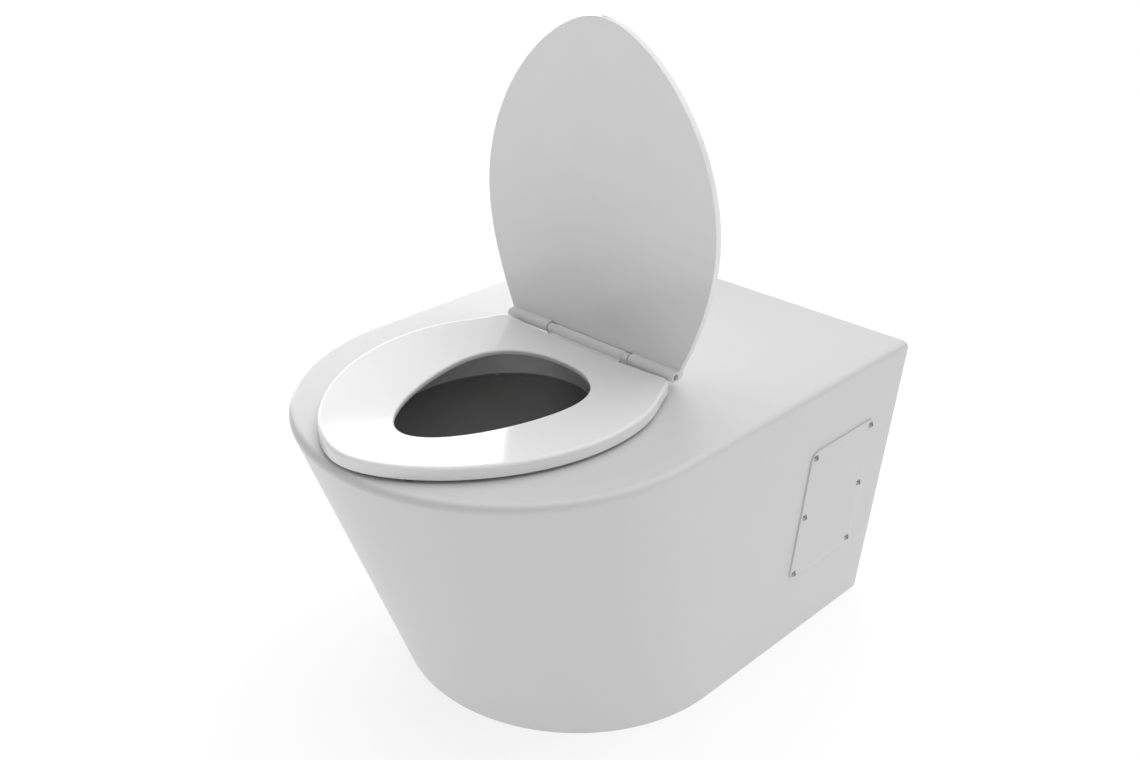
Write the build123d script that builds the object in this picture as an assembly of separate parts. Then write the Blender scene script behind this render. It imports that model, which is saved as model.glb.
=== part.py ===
from build123d import *
import math
import os

# Bariatric toilet pan, floor-standing with its back to the wall, with a moulded seat and lid.
# The front faces -Y, the wall is on the +Y side, and the floor is z = 0. The origin is the middle
# of the whole object's footprint box. Most places in plan are given as a distance from the wall.

# Pan shell: the deck's sharp-cornered outline, and the smaller outline at the floor
deck_width = 590.0
deck_length = 803.0
deck_nose = 299.0
deck_height = 440.0
base_width = 514.0
base_length = 637.0
base_nose = 257.5
edge_radius = 9.0
sheet = 2.0
deck_lip_straight = 1.8
nose_pieces = 12
base_flange_width = 85.0
base_flange_thick = 3.0
wall_frame_width = 50.0
wall_frame_thick = 3.0
overrun = 6.0

# Fixings to the building
floor_bolt_radius = 5.5
floor_bolt_inset = 24.0
floor_bolt_first = 62.0
floor_bolt_spacing = 250.0
wall_bolt_radius = 5.5
wall_bolt_inset = 20.0
wall_bolt_low = 150.0
wall_bolt_spacing = 160.0

# Seat hole, as distances from the wall, and the roundness of its four quarters
hole_front = 691.0
hole_widest = 499.0
hole_back = 415.0
hole_half_width = 96.5
hole_round_shares = (0.54, 0.36, 0.86, 0.37)

# Oval opening in the deck, rim channel and bowl below it
rim_distance = 548.0
rim_half_length = 157.0
rim_half_width = 130.0
rim_collar_depth = 28.0
rim_channel_width = 24.0
rim_channel_depth = 44.0
rim_sheet = 2.0
jet_radius = 2.5
jet_count = 24
bowl_sheet = 2.0
bowl_wall_depth = 62.0
bowl_level_shares = (0.0, 0.30, 0.66, 1.0)
bowl_narrow_shares = (0.0, 0.16, 0.55, 1.0)
oval_round_shares = (0.5523, 0.5523, 0.5523, 0.5523)

# Trap and waste outlet
pipe_radius = 52.0
pipe_wall = 2.0
throat_distance = 505.0
throat_height = 170.0
trap_leg = 15.0
trap_bend_radius = 80.0
trap_riser_leg = 35.0
outlet_height = 185.0
outlet_drop_radius = 70.0
outlet_recess = 12.0
spigot_radius = 55.0
spigot_length = 58.0

# Cleanout on the outlet, opposite the right access panel
cleanout_distance = 103.0
cleanout_radius = 30.0
cleanout_wall = 4.0
cleanout_reach = 24.0
cleanout_seat_depth = 2.0
cleanout_gap = 0.05
plug_flange_thick = 5.0
plug_thread_depth = 16.0
plug_hex_across = 32.0
plug_hex_height = 10.0
plug_wall = 4.0

# Flush pipe
flush_radius = 19.0
flush_wall = 1.6
flush_drop = 26.0
flush_seal_bore = 16.0
flush_seal_lip_radius = 23.0
flush_seal_lip_length = 6.0
flush_seal_depth = 22.0
flush_seal_gap = 0.3

# Load frames of box section, one each side
box_side = 30.0
box_wall = 2.5
frame_half_span = 190.0
frame_posts = (35.0, 231.0, 440.0)
frame_top_reach = 560.0
bracket_places = (455.0, 545.0)
bracket_thick = 5.0
bracket_height = 24.0
trap_tie_distance = 231.0
trap_tie_height = 30.0
trap_tie_thick = 4.0

# Access panels in the tapered sides
panel_distance = 135.0
panel_height = 229.0
panel_width = 154.0
panel_tall = 220.0
panel_thick = 1.5
panel_corner = 14.0
gasket_thick = 0.8
opening_width = 114.0
opening_tall = 178.0
opening_corner = 10.0
panel_frame_width = 168.0
panel_frame_tall = 232.0
panel_frame_thick = 3.0
screw_span = 137.0
screw_pitch = 100.5
screw_radius = 3.0
screw_hole_gap = 0.3
screw_thread_gap = 0.05
screw_head_radius = 5.25
screw_head_height = 3.0
screw_length = 15.0
screw_drive_across = 4.0
screw_drive_depth = 1.6
rivet_radius = 4.5
rivet_length = 9.0
rivet_flange_radius = 5.9
rivet_flange_gap = 0.3

# Seat ring outline, as distances from the wall
seat_front = 794.0
seat_widest = 525.0
seat_half_width = 204.0
seat_back = 367.0
seat_back_half_width = 158.0
seat_nose_shares = (0.37, 0.565)
seat_tail_shares = (0.54, 0.30)
seat_tail_lean_share = 0.30
seat_corner = 18.0
seat_gap = 4.5
seat_crest = 22.6
seat_inner_height = 10.5
seat_inner_margin = 4.0
seat_dish_margin = 16.0
seat_dish_back = 325.0
seat_dish_rear_shares = (0.85, 0.80)
seat_edge_radius = 4.0
seat_inner_radius = 3.0
level_slack = 0.1
buffer_radius = 9.0
buffer_clear = 0.3
buffer_recess = 1.5
buffer_places = ((118.0, 424.0), (172.0, 560.0), (78.0, 748.0))

# Hinge
hinge_distance = 355.0
hinge_height = 20.0
knuckle_radius = 8.0
rod_radius = 4.0
rod_half_length = 150.0
rod_chamfer = 0.8
bush_radius = 5.2
bush_length = 26.0
bush_gap = 0.06
bush_press_gap = 0.02
seat_knuckle_half = 65.0
seat_web_high = 0.5
seat_web_low = 8.0
seat_web_root = 6.0
post_inner = 65.4
post_width = 9.2
post_radius = 7.2
post_foot_front = 7.0
post_foot_back = 15.4
post_stop_gap = 0.3
post_corner = 1.2
lid_knuckle_start = 76.4
lid_half_length = 156.0
stud_radius = 4.0
stud_hole_gap = 0.3
stud_length = 18.0
washer_radius = 10.0
washer_thick = 1.6
nut_across = 13.0
nut_thick = 6.5
stiffener_half_length = 120.0
stiffener_front = 364.5
stiffener_back = 322.0
stiffener_thick = 3.0
grub_radius = 2.0

# Lid, measured from the hinge axis upwards when it stands open
lid_tip = 446.0
lid_widest = 184.0
lid_half_width = 205.0
lid_thick = 13.0
lid_face_offset = 5.0
lid_nose_shares = (0.39, 0.56)
lid_tail_shares = (0.49, 0.03)
lid_outer_radius = 5.0
lid_inner_radius = 1.0
lid_root_height = 4.0
lid_groove_gap = 0.6
lid_foot_drop = 4.0
lid_heel_radius = 10.0

# Earth stud on the wall frame
earth_radius = 3.0
earth_length = 22.0
earth_half_span = 140.0
earth_height = 26.0
earth_nut_across = 10.0
earth_nut_thick = 5.0

# Values worked out from the sizes above
nose_lean = math.atan((deck_length - base_length) / deck_height)
nose_loss = edge_radius * (math.tan(nose_lean) + 1 / math.cos(nose_lean) - 1)
wall = (deck_length - nose_loss) / 2
side_lean = math.atan((deck_width - base_width) / 2 / deck_height)
deck_under = deck_height - sheet
axis_height = deck_height + hinge_height
rim_back = rim_distance - rim_half_length
rim_floor_high = deck_height - rim_collar_depth
rim_floor_low = deck_height - rim_channel_depth
bowl_wall_low = deck_height - bowl_wall_depth
floor_bolt_half_span = base_width / 2 - sheet - floor_bolt_inset
deck_lip = edge_radius * (1 + math.sin(nose_lean)) + deck_lip_straight
flush_height = deck_height - flush_drop


def at(distance):
    """The y of a place that is this far from the wall."""
    return wall - distance


def write(name, *pieces):
    """Write one sub-part, made of one or more separate solids, as a STEP file."""
    solids = [s for piece in pieces for s in piece.solids()]
    shape = solids[0] if len(solids) == 1 else Compound(children=solids)
    shape.label = name
    export_step(shape, f"parts/{name}.step")


def mixed(top, bottom, z):
    """A size between its value at the deck and its value at the floor."""
    return bottom + (top - bottom) * z / deck_height


def shell_half_width(z):
    return mixed(deck_width, base_width, z) / 2


wall_bolt_half_span = shell_half_width(wall_bolt_low) - sheet - wall_bolt_inset


def shell_start(z):
    """The y where the straight sides end and the nose starts."""
    return at(mixed(deck_length - deck_nose, base_length - base_nose, z))


def shell_face(z, inset, back, pieces=1):
    """The D-shaped outline of the pan at one height, drawn in, with its straight back at a given y.

    The nose may be a chain of arcs, so that the two faces of a thin sheet divide alike.
    """
    half = shell_half_width(z) - inset
    nose = mixed(deck_nose, base_nose, z) - inset
    start = shell_start(z)
    step = math.degrees(math.pi) / pieces
    with BuildSketch(Plane.XY.offset(z)) as sketch:
        with BuildLine():
            if back > start:
                Polyline((-half, start), (-half, back), (half, back), (half, start))
            else:
                Line((-half, start), (half, start))
            for i in range(pieces):
                EllipticalCenterArc((0, start), half, nose, start_angle=-i * step, arc_size=-step)
        make_face()
    return sketch.sketch.face()


def shell_slab(low, high, inset=0, back=0):
    """A slice of the tapered pan between two heights, drawn out past the wall."""
    return Part(loft([shell_face(z, inset, wall + back) for z in (low, high)], ruled=True).solids())


def shell_nose(low, high, inset=0, back=0):
    """The nose alone of a slice of the pan, drawn out past the place where the sides start."""
    faces = [shell_face(z, inset, shell_start(z) + back, nose_pieces) for z in (low, high)]
    return Part(loft(faces, ruled=True).solids())


def rounded_top(slab, radius):
    """Round the top edge all along the sides and nose, and leave the wall edge sharp."""
    top = slab.faces().sort_by(Axis.Z)[-1]
    return fillet([e for e in top.edges() if e.center().Y < wall - sheet / 2], radius)


def egg_face(z, front, widest, back, half, shares):
    """An egg outline: the tip in front, the widest place, the blunt end at the back."""
    tip, wide, tail = at(front), at(widest), at(back)
    nose_share, flank_share, rear_share, tail_share = shares
    flank = wide - flank_share * (wide - tip)
    rear = wide + rear_share * (tail - wide)
    with BuildSketch(Plane.XY.offset(z)) as sketch:
        with BuildLine():
            Bezier((0, tip), (nose_share * half, tip), (half, flank), (half, wide))
            Bezier((half, wide), (half, rear), (tail_share * half, tail), (0, tail))
            Bezier((0, tail), (-tail_share * half, tail), (-half, rear), (-half, wide))
            Bezier((-half, wide), (-half, flank), (-nose_share * half, tip), (0, tip))
        make_face()
    return sketch.sketch.face()


def hole_egg(z, margin):
    """The seat hole's outline, made larger all round by a margin."""
    return egg_face(z, hole_front + margin, hole_widest, hole_back - margin, hole_half_width + margin,
                    hole_round_shares)


def rim_oval(z, margin):
    """The outline of the deck's opening, made larger all round by a margin."""
    reach = rim_half_length + margin
    return egg_face(z, rim_distance + reach, rim_distance, rim_distance - reach, rim_half_width + margin,
                    oval_round_shares)


def rim_block(low, high, margin):
    return Part(extrude(rim_oval(low, margin), high - low).solids())


def box_between(x0, x1, y0, y1, z0, z1):
    """A box between two corners."""
    return Pos((x0 + x1) / 2, (y0 + y1) / 2, (z0 + z1) / 2) * Box(abs(x1 - x0), abs(y1 - y0), abs(z1 - z0))


def rod_along(direction, start, length, radius):
    """A cylinder that starts at a point and runs along a direction."""
    plane = Plane(origin=start, z_dir=direction)
    return plane * Cylinder(radius, length, align=(Align.CENTER, Align.CENTER, Align.MIN))


def tube_along(direction, start, length, outer, inner):
    solid = rod_along(direction, start, length, outer)
    return solid - rod_along(direction, Vector(*start) - Vector(*direction) * overrun,
                             length + 2 * overrun, inner)


def hexagon_along(direction, start, length, across):
    plane = Plane(origin=start, z_dir=direction)
    return plane * extrude(RegularPolygon(across / 2, 6, major_radius=False), length)


def mirrored(piece):
    return piece.mirror(Plane.YZ)


# Pan shell

def deck():
    """Top sheet with its rounded edge turned down, cut for the bowl and the hinge studs."""
    top = rounded_top(shell_slab(deck_height - deck_lip, deck_height), edge_radius)
    under = rounded_top(shell_slab(deck_height - deck_lip - overrun, deck_under, sheet, overrun),
                        edge_radius - sheet)
    plate = top - under - rim_block(deck_under - overrun, deck_height + overrun, rim_sheet)
    for side in (-1, 1):
        plate -= rod_along((0, 0, 1), (side * post_middle, at(hinge_distance), deck_under - overrun),
                           sheet + 2 * overrun, stud_radius + stud_hole_gap)
    return plate


# The plane of the right panel's place on the tapered side: its x runs along +Y, its z outwards
panel_middle = (shell_half_width(panel_height), at(panel_distance), panel_height)
panel_outward = (math.cos(side_lean), 0, -math.sin(side_lean))
panel_plane = Plane(origin=panel_middle, x_dir=(0, 1, 0), z_dir=panel_outward)


def plate_on_panel(width, tall, corner, low, high):
    """A plate with rounded corners, lying along the side between two distances from its face."""
    return panel_plane * Pos(0, 0, low) * extrude(RectangleRounded(width, tall, corner), high - low)


def screw_places():
    return [(i * screw_span / 2, j * screw_pitch) for j in (-1, 0, 1) for i in (-1, 1)]


def on_screws(make):
    """Put one copy of a piece, made upright at the origin, at each screw of the right panel."""
    return [panel_plane * Pos(x, y, 0) * make() for x, y in screw_places()]


def screw_holes(radius, low, high):
    def hole():
        return Pos(0, 0, low) * Cylinder(radius, high - low, align=(Align.CENTER, Align.CENTER, Align.MIN))
    return on_screws(hole)


def skirt_side(top):
    """Right flank of the skirt: a flat sheet with its access opening and six holes for rivet nuts."""
    corners = [(wall, 0), (shell_start(0), 0), (shell_start(top), top), (wall, top)]
    face = make_face(Polyline([(shell_half_width(z), y, z) for y, z in corners], close=True))
    side = extrude(face, amount=sheet, dir=(-1, 0, 0))
    side -= plate_on_panel(opening_width, opening_tall, opening_corner, -sheet - overrun, overrun)
    for hole in screw_holes(rivet_radius, -sheet - overrun, overrun):
        side -= hole
    return Part(side.solids())


def skirt():
    """Wrapped side sheet, open at the wall, with an access opening in each side."""
    top = deck_height - deck_lip
    nose = shell_nose(0, top) - shell_nose(-overrun, top + overrun, sheet, overrun)
    side = skirt_side(top)
    return Part((nose + side + mirrored(side)).solids())


def base_flange():
    """Flat flange welded inside the skirt at the floor, with four holes for floor bolts."""
    back = -wall_frame_thick
    flange = shell_slab(0, base_flange_thick, sheet, back)
    flange -= shell_slab(-overrun, base_flange_thick + overrun, sheet + base_flange_width, back + overrun)
    for side in (-1, 1):
        for row in (0, 1):
            place = (side * floor_bolt_half_span, at(floor_bolt_first + row * floor_bolt_spacing), -overrun)
            flange -= rod_along((0, 0, 1), place, base_flange_thick + 2 * overrun, floor_bolt_radius)
    return flange


def wall_frame():
    """Upright flange that closes the open back all round, with four holes for wall bolts."""
    low_outer = shell_half_width(0) - sheet
    high_outer = shell_half_width(deck_under) - sheet
    lean = (high_outer - low_outer) / deck_under
    low, high = wall_frame_width, deck_under - wall_frame_width
    plane = Plane(origin=(0, wall, 0), x_dir=(1, 0, 0), z_dir=(0, -1, 0))
    outer = Polyline((-low_outer, 0), (low_outer, 0), (high_outer, deck_under), (-high_outer, deck_under),
                     close=True)
    inner_low = low_outer + lean * low - wall_frame_width
    inner_high = low_outer + lean * high - wall_frame_width
    inner = Polyline((-inner_low, low), (inner_low, low), (inner_high, high), (-inner_high, high), close=True)
    frame = plane * extrude(make_face(outer), wall_frame_thick)
    corners = frame.edges().filter_by(Axis.Y).sort_by(Axis.Z)[-2:]
    frame = fillet(corners, edge_radius)
    frame -= plane * Pos(0, 0, -overrun) * extrude(make_face(inner), wall_frame_thick + 2 * overrun)
    for side in (-1, 1):
        for row in (0, 1):
            place = (side * wall_bolt_half_span, wall + overrun, wall_bolt_low + row * wall_bolt_spacing)
            frame -= rod_along((0, -1, 0), place, wall_frame_thick + 2 * overrun, wall_bolt_radius)
    place = (0, wall + overrun, flush_height)
    frame -= rod_along((0, -1, 0), place, wall_frame_thick + 2 * overrun, flush_seal_lip_radius)
    place = (earth_half_span, wall + overrun, earth_height)
    return frame - rod_along((0, -1, 0), place, wall_frame_thick + 2 * overrun, earth_radius)


def earth_stud():
    """Bonding stud pressed through the wall frame, with its nut."""
    place = (earth_half_span, wall, earth_height)
    return rod_along((0, -1, 0), place, earth_length, earth_radius)


def earth_nut():
    place = (earth_half_span, wall - wall_frame_thick, earth_height)
    nut = hexagon_along((0, -1, 0), place, earth_nut_thick, earth_nut_across)
    return nut - rod_along((0, -1, 0), (earth_half_span, wall, earth_height), earth_length, earth_radius)


# Rim channel and bowl

def rim_channel():
    """Upright collar round the deck's opening, and the sloping perforated floor of the flush channel."""
    collar = rim_block(rim_floor_high, deck_height, rim_sheet)
    collar -= rim_block(rim_floor_high - overrun, deck_height + overrun, 0)
    low, high = rim_floor_low, rim_floor_high
    outer, inner = rim_channel_width, rim_sheet
    floor = Part(loft([rim_oval(low, outer), rim_oval(high, inner)], ruled=True).solids())
    under = [rim_oval(low - rim_sheet, outer), rim_oval(high - rim_sheet, inner)]
    floor -= Part(loft(under, ruled=True).solids())
    floor -= rim_block(low - overrun, high + overrun, 0)
    ring = Part((collar + floor).solids())
    middle = (high + low) / 2
    path = rim_oval(middle, (inner + outer) / 2).outer_wire()
    places = [path.position_at((i + 1 / 2) / jet_count) for i in range(jet_count)]
    return ring - [rod_along((0, 0, 1), (p.X, p.Y, low), high - low, jet_radius) for p in places]


def bowl_face(share, narrow, grow, drop):
    """One level of the bowl, between the rim's oval and the round throat."""
    def between(oval, throat):
        return oval + (throat - oval) * narrow
    bore = pipe_radius - pipe_wall
    middle = between(rim_distance, throat_distance)
    reach = between(rim_half_length + rim_channel_width, bore) + grow
    half = between(rim_half_width + rim_channel_width, bore) + grow
    z = bowl_wall_low + (throat_height - bowl_wall_low) * share - drop
    return egg_face(z, middle + reach, middle, middle - reach, half, oval_round_shares)


def bowl_form(grow, drop):
    levels = zip(bowl_level_shares, bowl_narrow_shares)
    faces = [bowl_face(share, narrow, grow, drop if share else 0) for share, narrow in levels]
    return Part(loft(faces).solids())


def bowl():
    """Pressed bowl: an upright wall welded under the deck, then a funnel down to the round throat."""
    body = rim_block(bowl_wall_low, deck_under, rim_channel_width + bowl_sheet) + bowl_form(bowl_sheet, 0)
    body -= rim_block(bowl_wall_low, deck_under + overrun, rim_channel_width)
    body -= bowl_form(0, 0)
    body -= rod_along((0, 0, 1), (0, at(throat_distance), throat_height - overrun), 2 * overrun,
                      pipe_radius - pipe_wall)
    body -= flush_bore(at(rim_back - rim_channel_width) - overrun)
    return Part(body.solids())


def flush_bore(front):
    """The space inside the flush pipe, from the wall to its mouth in the rim channel."""
    return rod_along((0, -1, 0), (0, wall, flush_height), wall - front, flush_radius - flush_wall)


def flush_pipe():
    """Straight flush pipe from its seal at the wall to the back of the rim channel."""
    start = (0, wall - flush_seal_lip_length, flush_height)
    pipe = rod_along((0, -1, 0), start, rim_back - rim_channel_width - flush_seal_lip_length, flush_radius)
    pipe -= flush_bore(at(rim_back))
    pipe -= rim_block(rim_floor_low - overrun, deck_height, rim_channel_width + bowl_sheet)
    return Part(pipe.solids().sort_by(SortBy.VOLUME)[-1:])


def flush_seal():
    """Rubber sleeve in the pipe's mouth, with a lip in the wall frame, for the cistern's flush pipe."""
    lip = rod_along((0, -1, 0), (0, wall, flush_height), flush_seal_lip_length,
                    flush_seal_lip_radius - flush_seal_gap)
    sleeve = rod_along((0, -1, 0), (0, wall, flush_height), flush_seal_lip_length + flush_seal_depth,
                       flush_radius - flush_wall)
    bore = rod_along((0, -1, 0), (0, wall + overrun, flush_height), overrun + wall, flush_seal_bore)
    return Part((lip + sleeve - bore).solids())


# Trap and outlet

trap_floor = throat_height - trap_leg
riser_distance = throat_distance - 2 * trap_bend_radius
crest_height = trap_floor + trap_riser_leg + trap_bend_radius
crest_distance = riser_distance - trap_bend_radius
drop_angle = math.acos(1 - (crest_height - outlet_height) / 2 / outlet_drop_radius)
drop_run = 2 * outlet_drop_radius * math.sin(drop_angle)
outlet_start = crest_distance - drop_run


def swept_pipe(path, start, direction):
    """A round pipe along a path in the middle plane."""
    plane = Plane(origin=start, z_dir=direction)
    outer = sweep(plane * Circle(pipe_radius), path=path)
    inner = sweep(plane * Circle(pipe_radius - pipe_wall), path=path)
    return Part((outer - inner).solids())


def point(distance, height):
    return Vector(0, at(distance), height)


def trap_bend():
    """U-bend that holds the water seal, from the bowl's throat to the riser."""
    middle = throat_distance - trap_bend_radius
    down = Line(point(throat_distance, throat_height), point(throat_distance, trap_floor))
    around = ThreePointArc(point(throat_distance, trap_floor),
                           point(middle, trap_floor - trap_bend_radius), point(riser_distance, trap_floor))
    up = Line(point(riser_distance, trap_floor), point(riser_distance, trap_floor + trap_riser_leg))
    return swept_pipe(Wire([down, around, up]), point(throat_distance, throat_height), (0, 0, -1))


def trap_riser():
    """Upper bend over the weir, then the drop to the level of the outlet."""
    start = point(riser_distance, trap_floor + trap_riser_leg)
    turn = math.radians(45)
    over = ThreePointArc(start, point(crest_distance + trap_bend_radius * math.cos(turn),
                                      crest_height - trap_bend_radius * (1 - math.sin(turn))),
                         point(crest_distance, crest_height))
    half_drop = (crest_height - outlet_height) / 2
    middle = point(crest_distance - drop_run / 2, crest_height - half_drop)
    lead = outlet_drop_radius * math.sin(drop_angle / 2)
    fall = outlet_drop_radius * (1 - math.cos(drop_angle / 2))
    first = ThreePointArc(point(crest_distance, crest_height),
                          point(crest_distance - lead, crest_height - fall), middle)
    second = ThreePointArc(middle, point(outlet_start + lead, outlet_height + fall),
                           point(outlet_start, outlet_height))
    return swept_pipe(Wire([over, first, second]), start, (0, 0, 1))


def outlet_spigot():
    """Sleeve on the end of the outlet pipe, of the size of a soil pipe coupling."""
    start = (0, at(outlet_recess + spigot_length), outlet_height)
    return tube_along((0, 1, 0), start, spigot_length, spigot_radius, pipe_radius)


def outlet_pipe():
    """Straight pipe towards the wall, open on its side for the cleanout."""
    start = (0, at(outlet_start), outlet_height)
    length = outlet_start - outlet_recess
    pipe = tube_along((0, 1, 0), start, length, pipe_radius, pipe_radius - pipe_wall)
    return pipe - rod_along((1, 0, 0), (0, at(cleanout_distance), outlet_height),
                            pipe_radius + cleanout_reach, cleanout_radius - cleanout_wall)


cleanout_face = pipe_radius + cleanout_reach


def cleanout_ferrule():
    """Threaded ferrule welded on the side of the outlet."""
    start = (0, at(cleanout_distance), outlet_height)
    ring = rod_along((1, 0, 0), start, cleanout_face, cleanout_radius)
    ring -= rod_along((1, 0, 0), start, cleanout_face + overrun, cleanout_radius - cleanout_wall)
    ring -= rod_along((0, 1, 0), (0, at(outlet_start + overrun), outlet_height), outlet_start, pipe_radius)
    return Part(ring.solids().sort_by(Axis.X)[-1:])


def cleanout_gasket():
    """Flat ring between the ferrule's face and the plug's flange."""
    start = (cleanout_face, at(cleanout_distance), outlet_height)
    return tube_along((1, 0, 0), start, cleanout_seat_depth, cleanout_radius, cleanout_radius - cleanout_wall)


def cleanout_plug():
    """Screw plug with a flange, a hollow threaded skirt and a hexagon head."""
    face = cleanout_face + cleanout_seat_depth
    y, z = at(cleanout_distance), outlet_height
    body = rod_along((1, 0, 0), (face, y, z), plug_flange_thick, cleanout_radius)
    skirt_radius = cleanout_radius - cleanout_wall - cleanout_gap
    start = (face - plug_thread_depth, y, z)
    body += rod_along((1, 0, 0), start, plug_thread_depth, skirt_radius)
    body -= rod_along((1, 0, 0), start, plug_thread_depth, skirt_radius - plug_wall)
    body += hexagon_along((1, 0, 0), (face + plug_flange_thick, y, z), plug_hex_height, plug_hex_across)
    return Part(body.solids())


# Load frames

def box_bar(x0, x1, y0, y1, z0, z1, along):
    """A length of box section along one axis."""
    bar = box_between(x0, x1, y0, y1, z0, z1)
    cut = [0 if axis == along else box_wall for axis in "XYZ"]
    grow = [overrun if axis == along else 0 for axis in "XYZ"]
    return bar - box_between(x0 + cut[0] - grow[0], x1 - cut[0] + grow[0], y0 + cut[1] - grow[1],
                             y1 - cut[1] + grow[1], z0 + cut[2] - grow[2], z1 - cut[2] + grow[2])


def load_frame():
    """Right frame: a floor rail, a longer rail under the deck and three posts."""
    x0, x1 = frame_half_span - box_side / 2, frame_half_span + box_side / 2
    back = at(frame_posts[0] - box_side / 2)
    low, high = base_flange_thick, deck_under
    frame = box_bar(x0, x1, at(frame_posts[-1] + box_side / 2), back, low, low + box_side, "Y")
    frame += box_bar(x0, x1, at(frame_top_reach), back, high - box_side, high, "Y")
    for place in frame_posts:
        frame += box_bar(x0, x1, at(place + box_side / 2), at(place - box_side / 2), low + box_side,
                         high - box_side, "Z")
    return Part(frame.solids())


def bowl_brackets():
    """Four flat bars that tie the bowl's upright wall to the rails under the deck."""
    cut = rim_block(bowl_wall_low, deck_under, rim_channel_width + bowl_sheet)
    top = deck_under - (box_side - bracket_height) / 2
    bars = []
    for place in bracket_places:
        bar = box_between(0, frame_half_span - box_side / 2, at(place + bracket_thick / 2),
                          at(place - bracket_thick / 2), top - bracket_height, top)
        bar = Part((bar - cut).solids().sort_by(Axis.X)[-1:])
        bars += [bar, mirrored(bar)]
    return bars


def trap_tie():
    """Cross strap between the two frames that carries the trap's riser."""
    inner = frame_half_span - box_side / 2
    y = at(trap_tie_distance)
    top = trap_strap_height()
    back, front = y + trap_tie_thick / 2, y - trap_tie_thick / 2
    bar = box_between(-inner, inner, front, back, top - trap_tie_height, top)
    return Part((bar - trap_riser_core()).solids())


def trap_strap_height():
    """The strap's top, level with the middle of the pipe where it crosses."""
    along = crest_distance - trap_tie_distance
    return crest_height - outlet_drop_radius + math.sqrt(outlet_drop_radius ** 2 - along ** 2)


def trap_riser_core():
    """The riser's outer form without its bore."""
    start = point(crest_distance, crest_height)
    lead = outlet_drop_radius * math.sin(drop_angle / 2)
    fall = outlet_drop_radius * (1 - math.cos(drop_angle / 2))
    middle = point(crest_distance - drop_run / 2, (crest_height + outlet_height) / 2)
    path = ThreePointArc(start, point(crest_distance - lead, crest_height - fall), middle)
    plane = Plane(origin=start, z_dir=(0, 1, 0))
    return Part(sweep(plane * Circle(pipe_radius), path=Wire([path])).solids())


# Access panels, made for the right side

panel_low = gasket_thick
panel_high = gasket_thick + panel_thick


def access_panel():
    """Cover plate with rounded corners and six screw holes."""
    plate = plate_on_panel(panel_width, panel_tall, panel_corner, panel_low, panel_high)
    for hole in screw_holes(screw_radius + screw_hole_gap, panel_low - overrun, panel_high + overrun):
        plate -= hole
    return plate


def panel_gasket():
    """Foam gasket between the cover and the skirt."""
    plate = plate_on_panel(panel_width, panel_tall, panel_corner, 0, gasket_thick)
    plate -= plate_on_panel(opening_width, opening_tall, opening_corner, -overrun, gasket_thick + overrun)
    for hole in screw_holes(rivet_flange_radius + rivet_flange_gap, -overrun, gasket_thick + overrun):
        plate -= hole
    return plate


def panel_frame():
    """Backing frame welded inside the skirt round the opening."""
    low = -sheet * math.cos(side_lean) - panel_frame_thick
    high = -sheet * math.cos(side_lean)
    plate = plate_on_panel(panel_frame_width, panel_frame_tall, panel_corner, low, high)
    plate -= plate_on_panel(opening_width, opening_tall, opening_corner, low - overrun, high + overrun)
    for hole in screw_holes(rivet_radius, low - overrun, high + overrun):
        plate -= hole
    return plate


def rivet_nuts():
    """Six threaded inserts, each with a thin head on the skirt's outside, level with the gasket."""
    def nut():
        down = (Align.CENTER, Align.CENTER, Align.MAX)
        up = (Align.CENTER, Align.CENTER, Align.MIN)
        body = Cylinder(rivet_radius, rivet_length, align=down)
        body += Cylinder(rivet_flange_radius, gasket_thick, align=up)
        return body - Cylinder(screw_radius + screw_thread_gap, 2 * rivet_length)
    return on_screws(nut)


def panel_screws():
    """Six dome-head screws with a socket drive."""
    def screw():
        up = (Align.CENTER, Align.CENTER, Align.MIN)
        down = (Align.CENTER, Align.CENTER, Align.MAX)
        radius = (screw_head_radius ** 2 + screw_head_height ** 2) / 2 / screw_head_height
        dome = Pos(0, 0, screw_head_height - radius) * Sphere(radius)
        dome = dome & Cylinder(screw_head_radius, screw_head_height, align=up)
        drive = extrude(RegularPolygon(screw_drive_across / 2, 6, major_radius=False), screw_head_height)
        dome -= Pos(0, 0, screw_head_height - screw_drive_depth) * drive
        return Pos(0, 0, panel_high) * (dome + Cylinder(screw_radius, screw_length, align=down))
    return on_screws(screw)


# Hinge

post_middle = post_inner + post_width / 2
axis_y = at(hinge_distance)


def on_axis(x, length, radius):
    """A cylinder on the hinge axis, from one place along it."""
    return rod_along((1, 0, 0), (x, axis_y, axis_height), length, radius)


def hinge_rod():
    rod = on_axis(-rod_half_length, 2 * rod_half_length, rod_radius)
    return chamfer(rod.edges().filter_by(GeomType.CIRCLE), rod_chamfer)


def hinge_post():
    """Right post: a round eye on a foot, with a stop shoulder behind it and a stud through the deck."""
    foot_top = axis_height - lid_foot_drop - post_stop_gap
    eye = on_axis(post_inner, post_width, post_radius)
    outer = post_inner + post_width
    front, middle, back = axis_y - post_foot_front, axis_y + post_foot_front, axis_y + post_foot_back
    neck = box_between(post_inner, outer, front, middle, deck_height, axis_height)
    foot = box_between(post_inner, outer, front, back, deck_height, foot_top)
    stud = rod_along((0, 0, -1), (post_middle, axis_y, deck_height), stud_length, stud_radius)
    post = Part((eye + neck + foot).solids())
    corner = post.edges().filter_by(Axis.X).sort_by(Axis.Y)[-1:]
    post = fillet(corner, post_corner)
    post += stud
    post -= on_axis(post_inner - overrun, post_width + 2 * overrun, rod_radius)
    post -= rod_along((0, -1, 0), grub_start(), post_foot_back, grub_radius)
    return Part(post.solids())


def grub_start():
    return (post_middle, axis_y - rod_radius, axis_height)


def grub_screw():
    """Grub screw in the front of the post, which holds the rod."""
    return rod_along((0, -1, 0), grub_start(), post_radius - rod_radius, grub_radius)


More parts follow.
